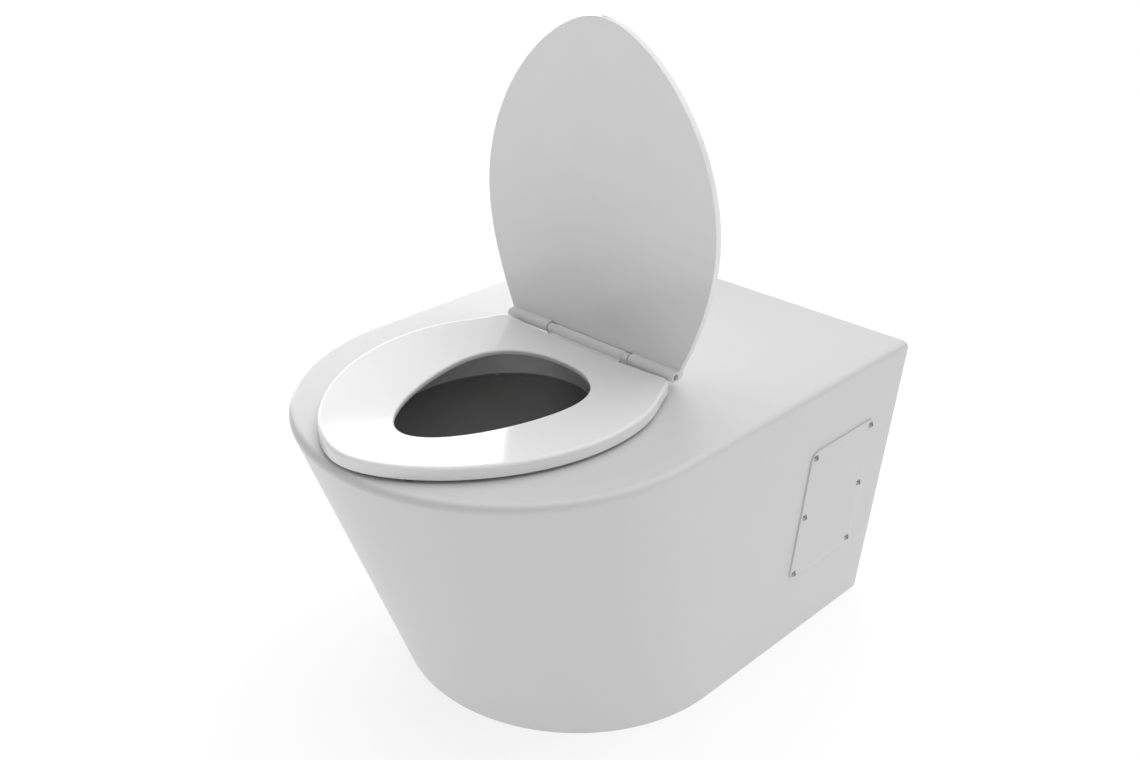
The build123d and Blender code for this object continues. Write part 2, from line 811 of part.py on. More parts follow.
def hinge_washer():
    z = deck_under - stiffener_thick - washer_thick
    return tube_along((0, 0, 1), (post_middle, axis_y, z), washer_thick, washer_radius,
                      stud_radius + stud_hole_gap)


def hinge_nut():
    z = deck_under - stiffener_thick - washer_thick - nut_thick
    up = (0, 0, 1)
    nut = hexagon_along(up, (post_middle, axis_y, z), nut_thick, nut_across)
    return nut - rod_along(up, (post_middle, axis_y, z - overrun), nut_thick + 2 * overrun, stud_radius)


def hinge_stiffener():
    """Flat bar under the deck that spreads the hinge's load."""
    bar = box_between(-stiffener_half_length, stiffener_half_length, at(stiffener_front), at(stiffener_back),
                      deck_under - stiffener_thick, deck_under)
    for side in (-1, 1):
        place = (side * post_middle, axis_y, deck_under - stiffener_thick - overrun)
        bar -= rod_along((0, 0, 1), place, stiffener_thick + 2 * overrun, stud_radius + stud_hole_gap)
    return bar


def bush(x):
    """Nylon bush in a knuckle, running on the rod."""
    return tube_along((1, 0, 0), (x, axis_y, axis_height), bush_length, bush_radius - bush_press_gap,
                      rod_radius + bush_gap)


# Seat

def seat_outline(z):
    """Plan of the seat: a pointed nose, full flanks and a straight back edge with round corners."""
    tip, wide, back = at(seat_front), at(seat_widest), at(seat_back)
    nose_share, flank_share = seat_nose_shares
    full_share, tail_share = seat_tail_shares
    flank = wide - flank_share * (wide - tip)
    full = wide + full_share * (back - wide)
    half, end = seat_half_width, seat_back_half_width
    lean = end + seat_tail_lean_share * (half - end)
    tail = back - tail_share * (back - wide)
    with BuildSketch(Plane.XY.offset(z)) as sketch:
        with BuildLine():
            Bezier((0, tip), (nose_share * half, tip), (half, flank), (half, wide))
            Bezier((half, wide), (half, full), (lean, tail), (end, back))
            Line((end, back), (-end, back))
            Bezier((-end, back), (-lean, tail), (-half, full), (-half, wide))
            Bezier((-half, wide), (-half, flank), (-nose_share * half, tip), (0, tip))
        make_face()
        fillet(sketch.vertices().sort_by(Axis.Y)[-2:], seat_corner)
    return sketch.sketch.face()


def seat_dish():
    """The dished space above the seat, which slopes from the outer edge down to the hole."""
    low = deck_height + seat_inner_height
    high = deck_height + seat_crest
    margin = seat_dish_margin
    rise = (high - low) * margin / (seat_half_width - hole_half_width)
    inner = hole_egg(low, seat_inner_margin)
    well = Part(extrude(hole_egg(deck_height, seat_inner_margin), seat_inner_height).solids())
    outer = egg_face(high + rise, seat_front + margin, seat_widest, seat_dish_back, seat_half_width + margin,
                     seat_nose_shares + seat_dish_rear_shares)
    return well + Part(loft([inner, outer], ruled=True).solids())


def seat_ring():
    """Solid moulded ring, dished on top, with the long centre knuckle of the hinge."""
    low = deck_height + seat_gap
    inner_z = deck_height + seat_inner_height
    middle = deck_height + (seat_inner_height + seat_crest) / 2
    block = Part(extrude(seat_outline(low), seat_crest - seat_gap + overrun).solids())
    ring = Part((block - seat_dish()).solids().sort_by(Axis.Z)[:1])
    ring = fillet([e for e in ring.edges() if e.bounding_box().min.Z > middle], seat_edge_radius)
    ring = fillet([e for e in ring.edges() if is_level(e, inner_z)], seat_inner_radius)
    ring += on_axis(-seat_knuckle_half, 2 * seat_knuckle_half, knuckle_radius)
    ring += box_between(-seat_knuckle_half, seat_knuckle_half, at(seat_back) - seat_web_root, axis_y,
                        axis_height - seat_web_low, axis_height - seat_web_high)
    ring -= on_axis(-seat_knuckle_half - overrun, 2 * seat_knuckle_half + 2 * overrun, bush_radius)
    for place in buffer_spots():
        ring -= rod_along((0, 0, 1), place, seat_gap + buffer_recess, buffer_radius)
    return Part(ring.solids())


def is_level(edge, z):
    """Whether an edge lies at this height all along."""
    box = edge.bounding_box()
    return max(abs(box.min.Z - z), abs(box.max.Z - z)) < level_slack


def buffer_spots():
    spots = []
    for x, distance in buffer_places:
        spots += [(x, at(distance), deck_height), (-x, at(distance), deck_height)]
    return spots


def seat_buffers():
    """Six rubber buffers pressed into the seat's underside, resting on the deck."""
    length = seat_gap + buffer_recess - buffer_clear
    starts = [(x, y, z + buffer_clear) for x, y, z in buffer_spots()]
    return [rod_along((0, 0, 1), start, length, buffer_radius) for start in starts]


def seat_bushes():
    return [bush(-seat_knuckle_half), bush(seat_knuckle_half - bush_length)]


# Lid

def lid_plate():
    """Flat plate, standing open, with a soft outer edge and a crisp inner one."""
    nose_share, flank_share = lid_nose_shares
    full_share, tail_share = lid_tail_shares
    tip, wide, root, foot = lid_tip, lid_widest, lid_root_height, -lid_foot_drop
    half, end = lid_half_width, lid_half_length
    flank = wide + flank_share * (tip - wide)
    full = wide - full_share * (wide - root)
    tail = root + tail_share * (wide - root)
    plane = Plane(origin=(0, axis_y + lid_face_offset, axis_height), x_dir=(1, 0, 0), z_dir=(0, -1, 0))
    with BuildSketch(plane) as sketch:
        with BuildLine():
            Bezier((0, tip), (nose_share * half, tip), (half, flank), (half, wide))
            Bezier((half, wide), (half, full), (end, tail), (end, root))
            Polyline((end, root), (end, foot), (-end, foot), (-end, root))
            Bezier((-end, root), (-end, tail), (-half, full), (-half, wide))
            Bezier((-half, wide), (-half, flank), (-nose_share * half, tip), (0, tip))
        make_face()
    plate = extrude(sketch.sketch, -lid_thick)
    plate = fillet(plate_rim(plate, -1), lid_outer_radius)
    return fillet(plate_rim(plate, 0), lid_inner_radius)


def plate_rim(plate, side):
    """The edges round the lid plate's front face (0) or back face (-1), without the foot's."""
    face = plate.faces().sort_by(Axis.Y)[side]
    return face.edges().sort_by(Axis.Z)[1:]


def lid_heel():
    """Right outer knuckle, with the heel that joins it to the plate's foot."""
    back = lid_face_offset + lid_thick
    plane = Plane(origin=(lid_knuckle_start, axis_y, axis_height), x_dir=(0, 1, 0), z_dir=(1, 0, 0))
    with BuildSketch(plane) as sketch:
        with BuildLine():
            Polyline((0, knuckle_radius), (0, -knuckle_radius), (back - lid_heel_radius, -knuckle_radius))
            RadiusArc((back - lid_heel_radius, -knuckle_radius), (back, lid_heel_radius - knuckle_radius),
                      -lid_heel_radius)
            Polyline((back, lid_heel_radius - knuckle_radius), (back, knuckle_radius), (0, knuckle_radius))
        make_face()
    heel = extrude(sketch.sketch, lid_half_length - lid_knuckle_start)
    end = heel.faces().sort_by(Axis.X)[-1]
    outer = [e for e in end.edges() if e.center().Y > axis_y + back - lid_outer_radius]
    heel = fillet(outer, lid_outer_radius)
    return heel + on_axis(lid_knuckle_start, lid_half_length - lid_knuckle_start, knuckle_radius)


def lid():
    """Moulded lid: plate, two heels and the outer knuckles, relieved round the seat's knuckle and posts."""
    plate = lid_plate()
    plate -= on_axis(-lid_knuckle_start, 2 * lid_knuckle_start, knuckle_radius + lid_groove_gap)
    body = plate + lid_heel() + mirrored(lid_heel())
    body -= on_axis(-lid_half_length - overrun, 2 * lid_half_length + 2 * overrun, bush_radius)
    return Part(body.solids())


def lid_bushes():
    """Four nylon bushes, one at each end of each lid knuckle."""
    inner = bush(lid_knuckle_start)
    outer = bush(rod_half_length - bush_length)
    return [inner, outer, mirrored(inner), mirrored(outer)]


def both_sides(name, make):
    """Write a sub-part of the right side and its mirror image on the left."""
    made = make()
    pieces = made if isinstance(made, list) else [made]
    write(f"{name}_right", *pieces)
    write(f"{name}_left", *[mirrored(piece) for piece in pieces])


os.makedirs("parts", exist_ok=True)
write("deck", deck())
write("skirt", skirt())
write("base_flange", base_flange())
write("wall_frame", wall_frame())
write("earth_stud", earth_stud())
write("earth_nut", earth_nut())
write("rim_channel", rim_channel())
write("bowl", bowl())
write("bowl_brackets", *bowl_brackets())
write("flush_pipe", flush_pipe())
write("flush_seal", flush_seal())
write("trap_bend", trap_bend())
write("trap_riser", trap_riser())
write("trap_tie", trap_tie())
write("outlet_pipe", outlet_pipe())
write("outlet_spigot", outlet_spigot())
write("cleanout_ferrule", cleanout_ferrule())
write("cleanout_gasket", cleanout_gasket())
write("cleanout_plug", cleanout_plug())
both_sides("load_frame", load_frame)
both_sides("panel_frame", panel_frame)
both_sides("rivet_nuts", rivet_nuts)
both_sides("panel_gasket", panel_gasket)
both_sides("access_panel", access_panel)
both_sides("panel_screws", panel_screws)
write("hinge_stiffener", hinge_stiffener())
write("hinge_posts", hinge_post(), mirrored(hinge_post()))
write("hinge_washers", hinge_washer(), mirrored(hinge_washer()))
write("hinge_nuts", hinge_nut(), mirrored(hinge_nut()))
write("hinge_grub_screws", grub_screw(), mirrored(grub_screw()))
write("hinge_rod", hinge_rod())
write("seat_ring", seat_ring())
write("seat_buffers", *seat_buffers())
write("seat_bushes", *seat_bushes())
write("lid", lid())
write("lid_bushes", *lid_bushes())
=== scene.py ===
import math

import bmesh
import bpy
import numpy as np
from mathutils import Matrix, Vector


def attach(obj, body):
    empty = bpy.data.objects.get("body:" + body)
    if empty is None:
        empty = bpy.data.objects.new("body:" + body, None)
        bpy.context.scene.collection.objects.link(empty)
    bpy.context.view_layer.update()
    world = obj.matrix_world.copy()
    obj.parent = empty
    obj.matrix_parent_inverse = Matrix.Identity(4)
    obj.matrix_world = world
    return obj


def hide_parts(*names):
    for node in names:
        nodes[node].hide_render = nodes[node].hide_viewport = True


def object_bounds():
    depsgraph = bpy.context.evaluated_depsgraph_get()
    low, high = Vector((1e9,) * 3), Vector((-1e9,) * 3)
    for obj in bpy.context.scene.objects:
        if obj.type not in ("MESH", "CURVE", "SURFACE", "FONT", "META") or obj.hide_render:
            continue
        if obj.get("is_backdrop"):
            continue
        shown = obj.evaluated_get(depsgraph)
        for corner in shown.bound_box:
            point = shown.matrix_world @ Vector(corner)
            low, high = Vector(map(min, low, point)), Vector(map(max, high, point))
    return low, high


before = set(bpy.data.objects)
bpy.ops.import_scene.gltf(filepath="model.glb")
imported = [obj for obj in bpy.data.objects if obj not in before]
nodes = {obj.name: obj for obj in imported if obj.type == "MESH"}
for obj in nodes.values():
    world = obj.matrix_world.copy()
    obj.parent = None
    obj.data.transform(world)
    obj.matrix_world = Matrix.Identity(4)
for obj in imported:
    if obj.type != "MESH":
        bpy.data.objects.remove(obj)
cad_low, cad_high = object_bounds()

# Skirt
# The wrapped side sheet of the pan: 2 mm stainless steel, folded round the front and drawn in
# towards the floor, welded to the deck and white powder coated. Each side has an access opening.

deck_width = 0.590
deck_length = 0.803
deck_nose = 0.299
deck_height = 0.440
base_width = 0.514
base_length = 0.637
base_nose = 0.2575
sheet = 0.002
lip_height = 0.426
wall = cad_high.y
side_rows = 10
straight_steps = 10
nose_steps = 120


def mixed(top, bottom, z):
    """A size between its value at the deck and its value at the floor."""
    return bottom + (top - bottom) * z / deck_height


def shell_point(u, z, inset=0.0):
    """A point of the pan's side: u runs 0..1 along the right side, then round the nose and back."""
    half = mixed(deck_width, base_width, z) / 2 - inset
    nose = mixed(deck_nose, base_nose, z) - inset
    start = wall - mixed(deck_length - deck_nose, base_length - base_nose, z)
    if u <= 1:
        return Vector((half, wall + (start - wall) * u, z))
    if u >= 1 + math.pi:
        return Vector((-half, start + (wall - start) * (u - 1 - math.pi), z))
    return Vector((half * math.cos(u - 1), start - nose * math.sin(u - 1), z))


def shell_stations():
    """Places round the pan's side, as u of shell_point."""
    right = [i / straight_steps for i in range(straight_steps)]
    nose = [1 + math.pi * i / nose_steps for i in range(nose_steps + 1)]
    left = [1 + math.pi + (i + 1) / straight_steps for i in range(straight_steps)]
    return right + nose + left


def new_object(name, data):
    """A new object at the world's origin."""
    made = bpy.data.objects.new(name, data)
    bpy.context.scene.collection.objects.link(made)
    return made


def shaded(mesh, sharp_degrees=35):
    """Smooth shading, broken where two faces meet at more than an angle."""
    work = bmesh.new()
    work.from_mesh(mesh)
    limit = math.radians(sharp_degrees)
    for face in work.faces:
        face.smooth = True
    for edge in work.edges:
        edge.smooth = len(edge.link_faces) == 2 and edge.calc_face_angle(0.0) < limit
    work.to_mesh(mesh)
    work.free()
    return mesh


def lofted(name, loops, ring=False, sharp_degrees=35):
    """A closed mesh through loops of the same number of points: capped, or joined end to end."""
    count = len(loops[0])
    points = [tuple(p) for loop in loops for p in loop]
    faces = []
    for i in range(len(loops) if ring else len(loops) - 1):
        for j in range(count):
            a, b = i * count, (i + 1) % len(loops) * count
            faces.append((a + j, a + (j + 1) % count, b + (j + 1) % count, b + j))
    if not ring:
        faces.append(tuple(reversed(range(count))))
        faces.append(tuple((len(loops) - 1) * count + j for j in range(count)))
    mesh = bpy.data.meshes.new(name)
    mesh.from_pydata(points, [], faces)
    outward(mesh)
    return new_object(name, shaded(mesh, sharp_degrees))


def outward(mesh):
    """Turn every face of a closed mesh to point outwards."""
    work = bmesh.new()
    work.from_mesh(mesh)
    bmesh.ops.remove_doubles(work, verts=work.verts, dist=1e-6)
    bmesh.ops.recalc_face_normals(work, faces=work.faces)
    work.to_mesh(mesh)
    work.free()
    return mesh


def made_plain(obj, sharp_degrees=35):
    """Turn an object's live modifiers into its plain mesh."""
    bpy.context.view_layer.update()
    evaluated = obj.evaluated_get(bpy.context.evaluated_depsgraph_get())
    mesh = bpy.data.meshes.new_from_object(evaluated)
    obj.modifiers.clear()
    obj.data = mesh
    outward(mesh)
    shaded(mesh, sharp_degrees)
    return obj


def combined(obj, other, operation):
    """Cut, add or intersect one closed mesh with another, which is used up."""
    step = obj.modifiers.new(operation.lower(), "BOOLEAN")
    step.operation = operation
    step.solver = "EXACT"
    step.object = other
    made_plain(obj)
    bpy.data.objects.remove(other)


def dressed(obj, body, finish, slot, *stands_for):
    """Give a finished piece its material, its body and the nodes it stands for; its slot is not
    used.
    """
    obj.data.materials.clear()
    obj.data.materials.append(finish)
    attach(obj, body)
    if stands_for:
        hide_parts(*stands_for)


class Wire:
    """A number, colour or vector on its way through a material, with maths on it."""

    def __init__(self, tree, socket):
        self.tree, self.socket = tree, socket

    def maths(self, operation, first, second):
        node = self.tree.nodes.new("ShaderNodeMath")
        node.operation = operation
        for place, value in enumerate((first, second)):
            if isinstance(value, Wire):
                self.tree.links.new(value.socket, node.inputs[place])
            else:
                node.inputs[place].default_value = value
        return Wire(self.tree, node.outputs[0])

    def __add__(self, other):
        return self.maths("ADD", self, other)

    def __radd__(self, other):
        return self.maths("ADD", other, self)

    def __sub__(self, other):
        return self.maths("SUBTRACT", self, other)

    def __rsub__(self, other):
        return self.maths("SUBTRACT", other, self)

    def __mul__(self, other):
        return self.maths("MULTIPLY", self, other)

    def __rmul__(self, other):
        return self.maths("MULTIPLY", other, self)

    def __truediv__(self, other):
        return self.maths("DIVIDE", self, other)

    def __pow__(self, other):
        return self.maths("POWER", self, other)


class Bench:
    """A node tree being built, for a material or for geometry."""

    def __init__(self, tree):
        self.tree = tree

    def node(self, kind, settings=None, output=0, **inputs):
        """Any node, its settings, and the values or links of its sockets: by name or at_NUMBER."""
        made = self.tree.nodes.new(kind)
        for key, value in (settings or {}).items():
            if key == "stops":
                for stop, (place, grey) in zip(made.color_ramp.elements, value):
                    stop.position, stop.color = place, (grey, grey, grey, 1)
            else:
                setattr(made, key, value)
        for key, value in inputs.items():
            found = int(key[3:]) if key.startswith("at_") else key.replace("_", " ")
            self.plug(made.inputs[found], value)
        return Wire(self.tree, made.outputs[output])

    def plug(self, socket, value):
        for one in value if isinstance(value, list) else [value]:
            if isinstance(one, Wire):
                self.tree.links.new(one.socket, socket)
            else:
                socket.default_value = one


class Finish(Bench):
    """A material being built round one main shader."""

    def __init__(self, name, **constants):
        self.data = bpy.data.materials.new(name)
        self.data.use_nodes = True
        super().__init__(self.data.node_tree)
        self.main = self.tree.nodes["Principled BSDF"]
        self.place = self.node("ShaderNodeTexCoord", output="Object")
        self.set(**constants)

    def set(self, **inputs):
        for key, value in inputs.items():
            self.plug(self.main.inputs[key.replace("_", " ")], value)

    def noise(self, scale, detail=2.0, roughness=0.5, stretch=(1, 1, 1)):
        """A soft random pattern from 0 to 1, with so many features to the metre."""
        where = self.node("ShaderNodeMapping", Vector=self.place, Scale=stretch)
        return self.node("ShaderNodeTexNoise", Vector=where, Scale=scale, Detail=detail,
                         Roughness=roughness)

    def between(self, share, first, second):
        """A colour led from one to another by a share."""
        return self.node("ShaderNodeMix", {"data_type": "RGBA"}, output=2,
                         at_0=share, at_6=(*first, 1), at_7=(*second, 1))

    def bumped(self, height, distance, strength=1.0):
        bump = self.node("ShaderNodeBump", Height=height, Distance=distance, Strength=strength)
        self.set(Normal=bump)


def white_coat():
    """Baked powder coat: near white, satin, with fine orange peel and a faint change of gloss."""
    finish = Finish("white_powder_coat", Metallic=0.0, IOR=1.5, Coat_Weight=0.40,
                    Coat_Roughness=0.20)
    cloud = finish.noise(3.0, 3.0)
    peel = finish.noise(420.0, 2.0)
    finish.set(Base_Color=finish.between(cloud, (0.64, 0.64, 0.64), (0.66, 0.66, 0.66)))
    finish.set(Roughness=0.44 + 0.08 * cloud + 0.04 * peel)
    finish.bumped(peel, 0.00006, 0.35)
    return finish.data


coat = white_coat()

panel_distance = 0.135
panel_height = 0.229
opening_width = 0.114
opening_tall = 0.178
opening_corner = 0.010
screw_span = 0.137
screw_pitch = 0.1005
rivet_radius = 0.0045
cutter_reach = 0.02
side_lean = math.atan((deck_width - base_width) / 2 / deck_height)


def panel_matrix(side):
    """The plane of an access panel: its x along the side, its y up the side, its z outwards."""
    x = mixed(deck_width, base_width, panel_height) / 2
    out = Vector((math.cos(side_lean), 0, -math.sin(side_lean)))
    along = Vector((0, 1, 0))
    up = out.cross(along)
    if side < 0:
        out.x, up.x, along = -out.x, -up.x, -along
    turn = Matrix((along, up, out)).transposed().to_4x4()
    return Matrix.Translation((side * x, wall - panel_distance, panel_height)) @ turn


def rounded_rectangle(width, tall, corner, steps=8):
    """Plan points round a rectangle with round corners."""
    points = []
    for quarter, (sx, sy) in enumerate(((1, 1), (-1, 1), (-1, -1), (1, -1))):
        for i in range(steps + 1):
            angle = math.pi / 2 * (quarter + i / steps)
            points.append((sx * (width / 2 - corner) + corner * math.cos(angle),
                           sy * (tall / 2 - corner) + corner * math.sin(angle)))
    return points


def on_plane(matrix, outline, z):
    """A plan laid on the plane of a matrix, at a height over it."""
    return [matrix @ Vector((x, y, z)) for x, y in outline]


def opening_cutter(side):
    """What is cut out of one side of the skirt, behind its access panel."""
    matrix = panel_matrix(side)
    outline = rounded_rectangle(opening_width, opening_tall, opening_corner)
    return lofted("cutter", [on_plane(matrix, outline, z) for z in (-cutter_reach, cutter_reach)])


def screw_places():
    """Where the six screws of a panel stand, on the panel's plane."""
    return [(i * screw_span / 2, j * screw_pitch) for j in (-1, 0, 1) for i in (-1, 1)]


def circle(radius, sides):
    """Plan points round a circle."""
    return [(radius * math.cos(2 * math.pi * i / sides), radius * math.sin(2 * math.pi * i / sides))
            for i in range(sides)]


def round_cutter(matrix, x, y, radius, low, high):
    """A drill along the z of a matrix, from one height to another."""
    ring = [(x + a, y + b) for a, b in circle(radius, 32)]
    return lofted("cutter", [on_plane(matrix, ring, z) for z in (low, high)])


heights = [lip_height * i / side_rows for i in range(side_rows + 1)]
loops = []
for u in shell_stations():
    outer = [shell_point(u, z) for z in heights]
    inner = [shell_point(u, z, sheet) for z in reversed(heights)]
    loops.append(outer + inner)
skirt = lofted("skirt_sheet", loops)
for side in (1, -1):
    combined(skirt, opening_cutter(side), "DIFFERENCE")
    for x, y in screw_places():
        drill = round_cutter(panel_matrix(side), x, y, rivet_radius, -cutter_reach, cutter_reach)
        combined(skirt, drill, "DIFFERENCE")
dressed(skirt, "pan", coat, "coated_steel", "skirt")

# Deck
# The top sheet of the same steel, with its edge rolled down over 9 mm to meet the skirt and ground
# flush, so that no seam shows. It has an oval opening and is drilled for the two hinge studs.

edge_radius = 0.009
edge_steps = 10
edge_support = 0.0006
rim_distance = 0.548
rim_half_length = 0.157
rim_half_width = 0.130
oval_round_shares = (0.5523, 0.5523, 0.5523, 0.5523)
egg_steps = 40
hinge_distance = 0.355
hinge_post_place = 0.070
stud_hole_radius = 0.0043


def bezier(a, b, c, d, steps):
    """Points along a curve through four plan points, without its last one."""
    found = []
    for i in range(steps):
        t = i / steps
        s = 1 - t
        found.append(tuple(s ** 3 * p + 3 * s * s * t * q + 3 * s * t * t * r + t ** 3 * e
                           for p, q, r, e in zip(a, b, c, d)))
    return found


def half_nose(tip, wide, half, shares, steps):
    """The right half of a round nose, from its tip to its widest place."""
    nose, flank = shares
    flank_point = (half, wide - flank * (wide - tip))
    return bezier((0, tip), (nose * half, tip), flank_point, (half, wide), steps)


def mirrored(right):
    """The left side that goes with a right side, on the way back to its tip."""
    return [(-x, y) for x, y in reversed(right[1:])]


def egg(front, widest, back, half, shares, steps=egg_steps):
    """Plan points of an egg, its tip first and then its right, by its distances from the wall."""
    tip, wide, tail = wall - front, wall - widest, wall - back
    rear, end = shares[2:]
    rear_point = (half, wide + rear * (tail - wide))
    right = half_nose(tip, wide, half, shares[:2], steps)
    right += bezier((half, wide), rear_point, (end * half, tail), (0, tail), steps)
    return right + [(0, tail)] + mirrored(right)


def rim_oval(margin):
    """The plan of the deck's opening, made larger all round by a margin."""
    reach, half = rim_half_length + margin, rim_half_width + margin
    return egg(rim_distance + reach, rim_distance, rim_distance - reach, half, oval_round_shares)


def at_height(plan, z):
    """A plan lifted to its height."""
    return [Vector((x, y, z)) for x, y in plan]


def edge_profile(u, top, radius, inset):
    """Points from the lip's foot up the side, round the edge and a little way in on the top."""
    corner = shell_point(u, top, inset)
    below = shell_point(u, lip_height, inset)
    step = 1e-4
    ahead, behind = shell_point(u + step, top, inset), shell_point(u - step, top, inset)
    along = (ahead - behind).normalized()
    out = Vector((-along.y, along.x, 0))
    if out.dot(corner - Vector((0, wall - rim_distance, top))) < 0:
        out = -out
    lean = math.atan((corner - below).dot(out) / (top - lip_height))
    reach = radius * math.tan(math.pi / 4 + lean / 2)
    middle = corner - out * reach - Vector((0, 0, radius))
    points = [below]
    for i in range(edge_steps + 1):
        angle = -lean + (math.pi / 2 + lean) * i / edge_steps
        rise = Vector((0, 0, radius * math.sin(angle)))
        points.append(middle + out * radius * math.cos(angle) + rise)
    return points + [points[-1] - out * edge_support]


def deck_sheet():
    """The thick sheet: two skins, joined at the lip, at the wall edge and at the bowl opening."""
    work = bmesh.new()
    skins, holes = [], []
    for inset in (0.0, sheet):
        top, radius = deck_height - inset, edge_radius - inset
        columns = [[work.verts.new(p) for p in edge_profile(u, top, radius, inset)]
                   for u in shell_stations()]
        for left, right in zip(columns, columns[1:]):
            for i in range(len(left) - 1):
                work.faces.new((left[i], left[i + 1], right[i + 1], right[i]))
        near = [work.verts.new(p) for p in at_height(rim_oval(sheet), top)]
        far = [work.verts.new(p) for p in at_height(rim_oval(sheet + edge_support), top)]
        for i in range(len(near)):
            j = (i + 1) % len(near)
            work.faces.new((near[i], near[j], far[j], far[i]))
        rim = [column[-1] for column in columns]
        edges = [work.edges.get((a, b)) or work.edges.new((a, b))
                 for a, b in zip(rim, rim[1:] + rim[:1])]
        edges += [work.edges.get((a, b)) for a, b in zip(far, far[1:] + far[:1])]
        bmesh.ops.triangle_fill(work, use_beauty=True, use_dissolve=False, edges=edges)
        skins.append(columns)
        holes.append(near)
    outer, inner = skins
    for i in range(len(outer) - 1):
        work.faces.new((outer[i][0], outer[i + 1][0], inner[i + 1][0], inner[i][0]))
    for a, b in ((outer[0], inner[0]), (outer[-1], inner[-1])):
        for i in range(len(a) - 1):
            work.faces.new((a[i], a[i + 1], b[i + 1], b[i]))
    work.faces.new((outer[0][-1], outer[-1][-1], inner[-1][-1], inner[0][-1]))
    for i in range(len(holes[0])):
        j = (i + 1) % len(holes[0])
        work.faces.new((holes[0][i], holes[0][j], holes[1][j], holes[1][i]))
    mesh = bpy.data.meshes.new("deck_sheet")
    work.to_mesh(mesh)
    work.free()
    return new_object("deck_sheet", shaded(outward(mesh)))


deck = deck_sheet()
for side in (1, -1):
    upright = Matrix.Translation((side * hinge_post_place, wall - hinge_distance, deck_height))
    drill = round_cutter(upright, 0, 0, stud_hole_radius, -cutter_reach, cutter_reach)
    combined(deck, drill, "DIFFERENCE")
dressed(deck, "pan", coat, "coated_steel", "deck")

# Access panels
# A cover of 1.5 mm coated sheet on each side, on a thin foam gasket, over the opening in the skirt.
# A backing frame is welded behind the opening, and six rivet nuts in it take the cover's screws.

panel_width = 0.154
panel_tall = 0.220
panel_thick = 0.0015
panel_corner = 0.014
panel_round = 0.0004
gasket_thick = 0.0008
screw_clear = 0.0033
screw_radius = 0.003
screw_length = 0.015
screw_head_radius = 0.00525
screw_head_height = 0.003
socket_radius = 0.0023
socket_depth = 0.0016


def plate_loops(matrix, width, tall, corner, low, high, radius, steps=4):
    """Outlines of a plate with round corners and a rounded upper edge, from below to above."""
    levels = [(0.0, low), (0.0, high - radius)]
    for i in range(1, steps + 1):
        angle = math.pi / 2 * i / steps
        levels.append((radius * (1 - math.cos(angle)), high - radius * (1 - math.sin(angle))))
    return [on_plane(matrix, rounded_rectangle(width - 2 * i, tall - 2 * i, corner - i), z)
            for i, z in levels]


def foam():
    """Closed-cell foam: pale grey, dull, with fine cells."""
    finish = Finish("gasket_foam", Roughness=0.9, Metallic=0.0)
    cells = finish.node("ShaderNodeTexVoronoi", Vector=finish.place, Scale=900.0)
    finish.set(Base_Color=finish.between(cells, (0.58, 0.58, 0.57), (0.66, 0.66, 0.65)))
    finish.bumped(cells, 0.0003, 0.6)
    return finish.data


def plain_steel():
    """Pickled stainless sheet and box section: dull and cloudy, faintly rolled along its length."""
    finish = Finish("pickled_stainless", Metallic=1.0)
    cloud = finish.noise(9.0, 4.0, 0.6)
    rolled = finish.noise(60.0, 3.0, 0.6, (6.0, 0.15, 6.0))
    finish.set(Base_Color=finish.between(cloud, (0.44, 0.44, 0.43), (0.55, 0.55, 0.54)))
    finish.set(Roughness=0.34 + 0.14 * cloud + 0.08 * rolled)
    finish.bumped(rolled, 0.00004, 0.5)
    return finish.data


def screw_metal():
    """Bright cold-formed stainless fastener with light turning marks."""
    finish = Finish("bright_fastener", Metallic=1.0)
    grain = finish.noise(700.0, 2.0)
    finish.set(Base_Color=finish.between(grain, (0.32, 0.32, 0.32), (0.42, 0.42, 0.42)))
    finish.set(Roughness=0.22 + 0.10 * grain)
    finish.bumped(grain, 0.00002, 0.4)
    return finish.data


def geometry_tree(name, inputs):
    """An empty geometry tree with named inputs, and the bench to build it on."""
    kinds = {float: "NodeSocketFloat", int: "NodeSocketInt", tuple: "NodeSocketVector",
             bpy.types.Material: "NodeSocketMaterial", bpy.types.Object: "NodeSocketObject"}
    tree = bpy.data.node_groups.new(name, "GeometryNodeTree")
    tree.interface.new_socket("Result", in_out="OUTPUT", socket_type="NodeSocketGeometry")
    tree.interface.new_socket("Start", in_out="INPUT", socket_type="NodeSocketGeometry")
    for key, value in inputs.items():
        tree.interface.new_socket(key, in_out="INPUT", socket_type=kinds[type(value)])
    bench = Bench(tree)
    source = tree.nodes.new("NodeGroupInput")
    return bench, {key: Wire(tree, source.outputs[key]) for key in ["Start", *inputs]}


def grown(name, bench, shape, inputs, material, obj=None):
    """Finish a geometry tree, set its inputs and turn its result into a plain mesh object."""
    real = bench.node("GeometryNodeRealizeInstances", Geometry=shape)
    painted = bench.node("GeometryNodeSetMaterial", Geometry=real, Material=material)
    bench.tree.links.new(painted.socket, bench.tree.nodes.new("NodeGroupOutput").inputs[0])
    obj = obj or new_object(name, bpy.data.meshes.new(name))
    step = obj.modifiers.new("grow", "NODES")
    step.node_group = bench.tree
    for item in bench.tree.interface.items_tree:
        if item.in_out == "INPUT" and item.name in inputs:
            step[item.identifier] = inputs[item.name]
    return made_plain(obj)


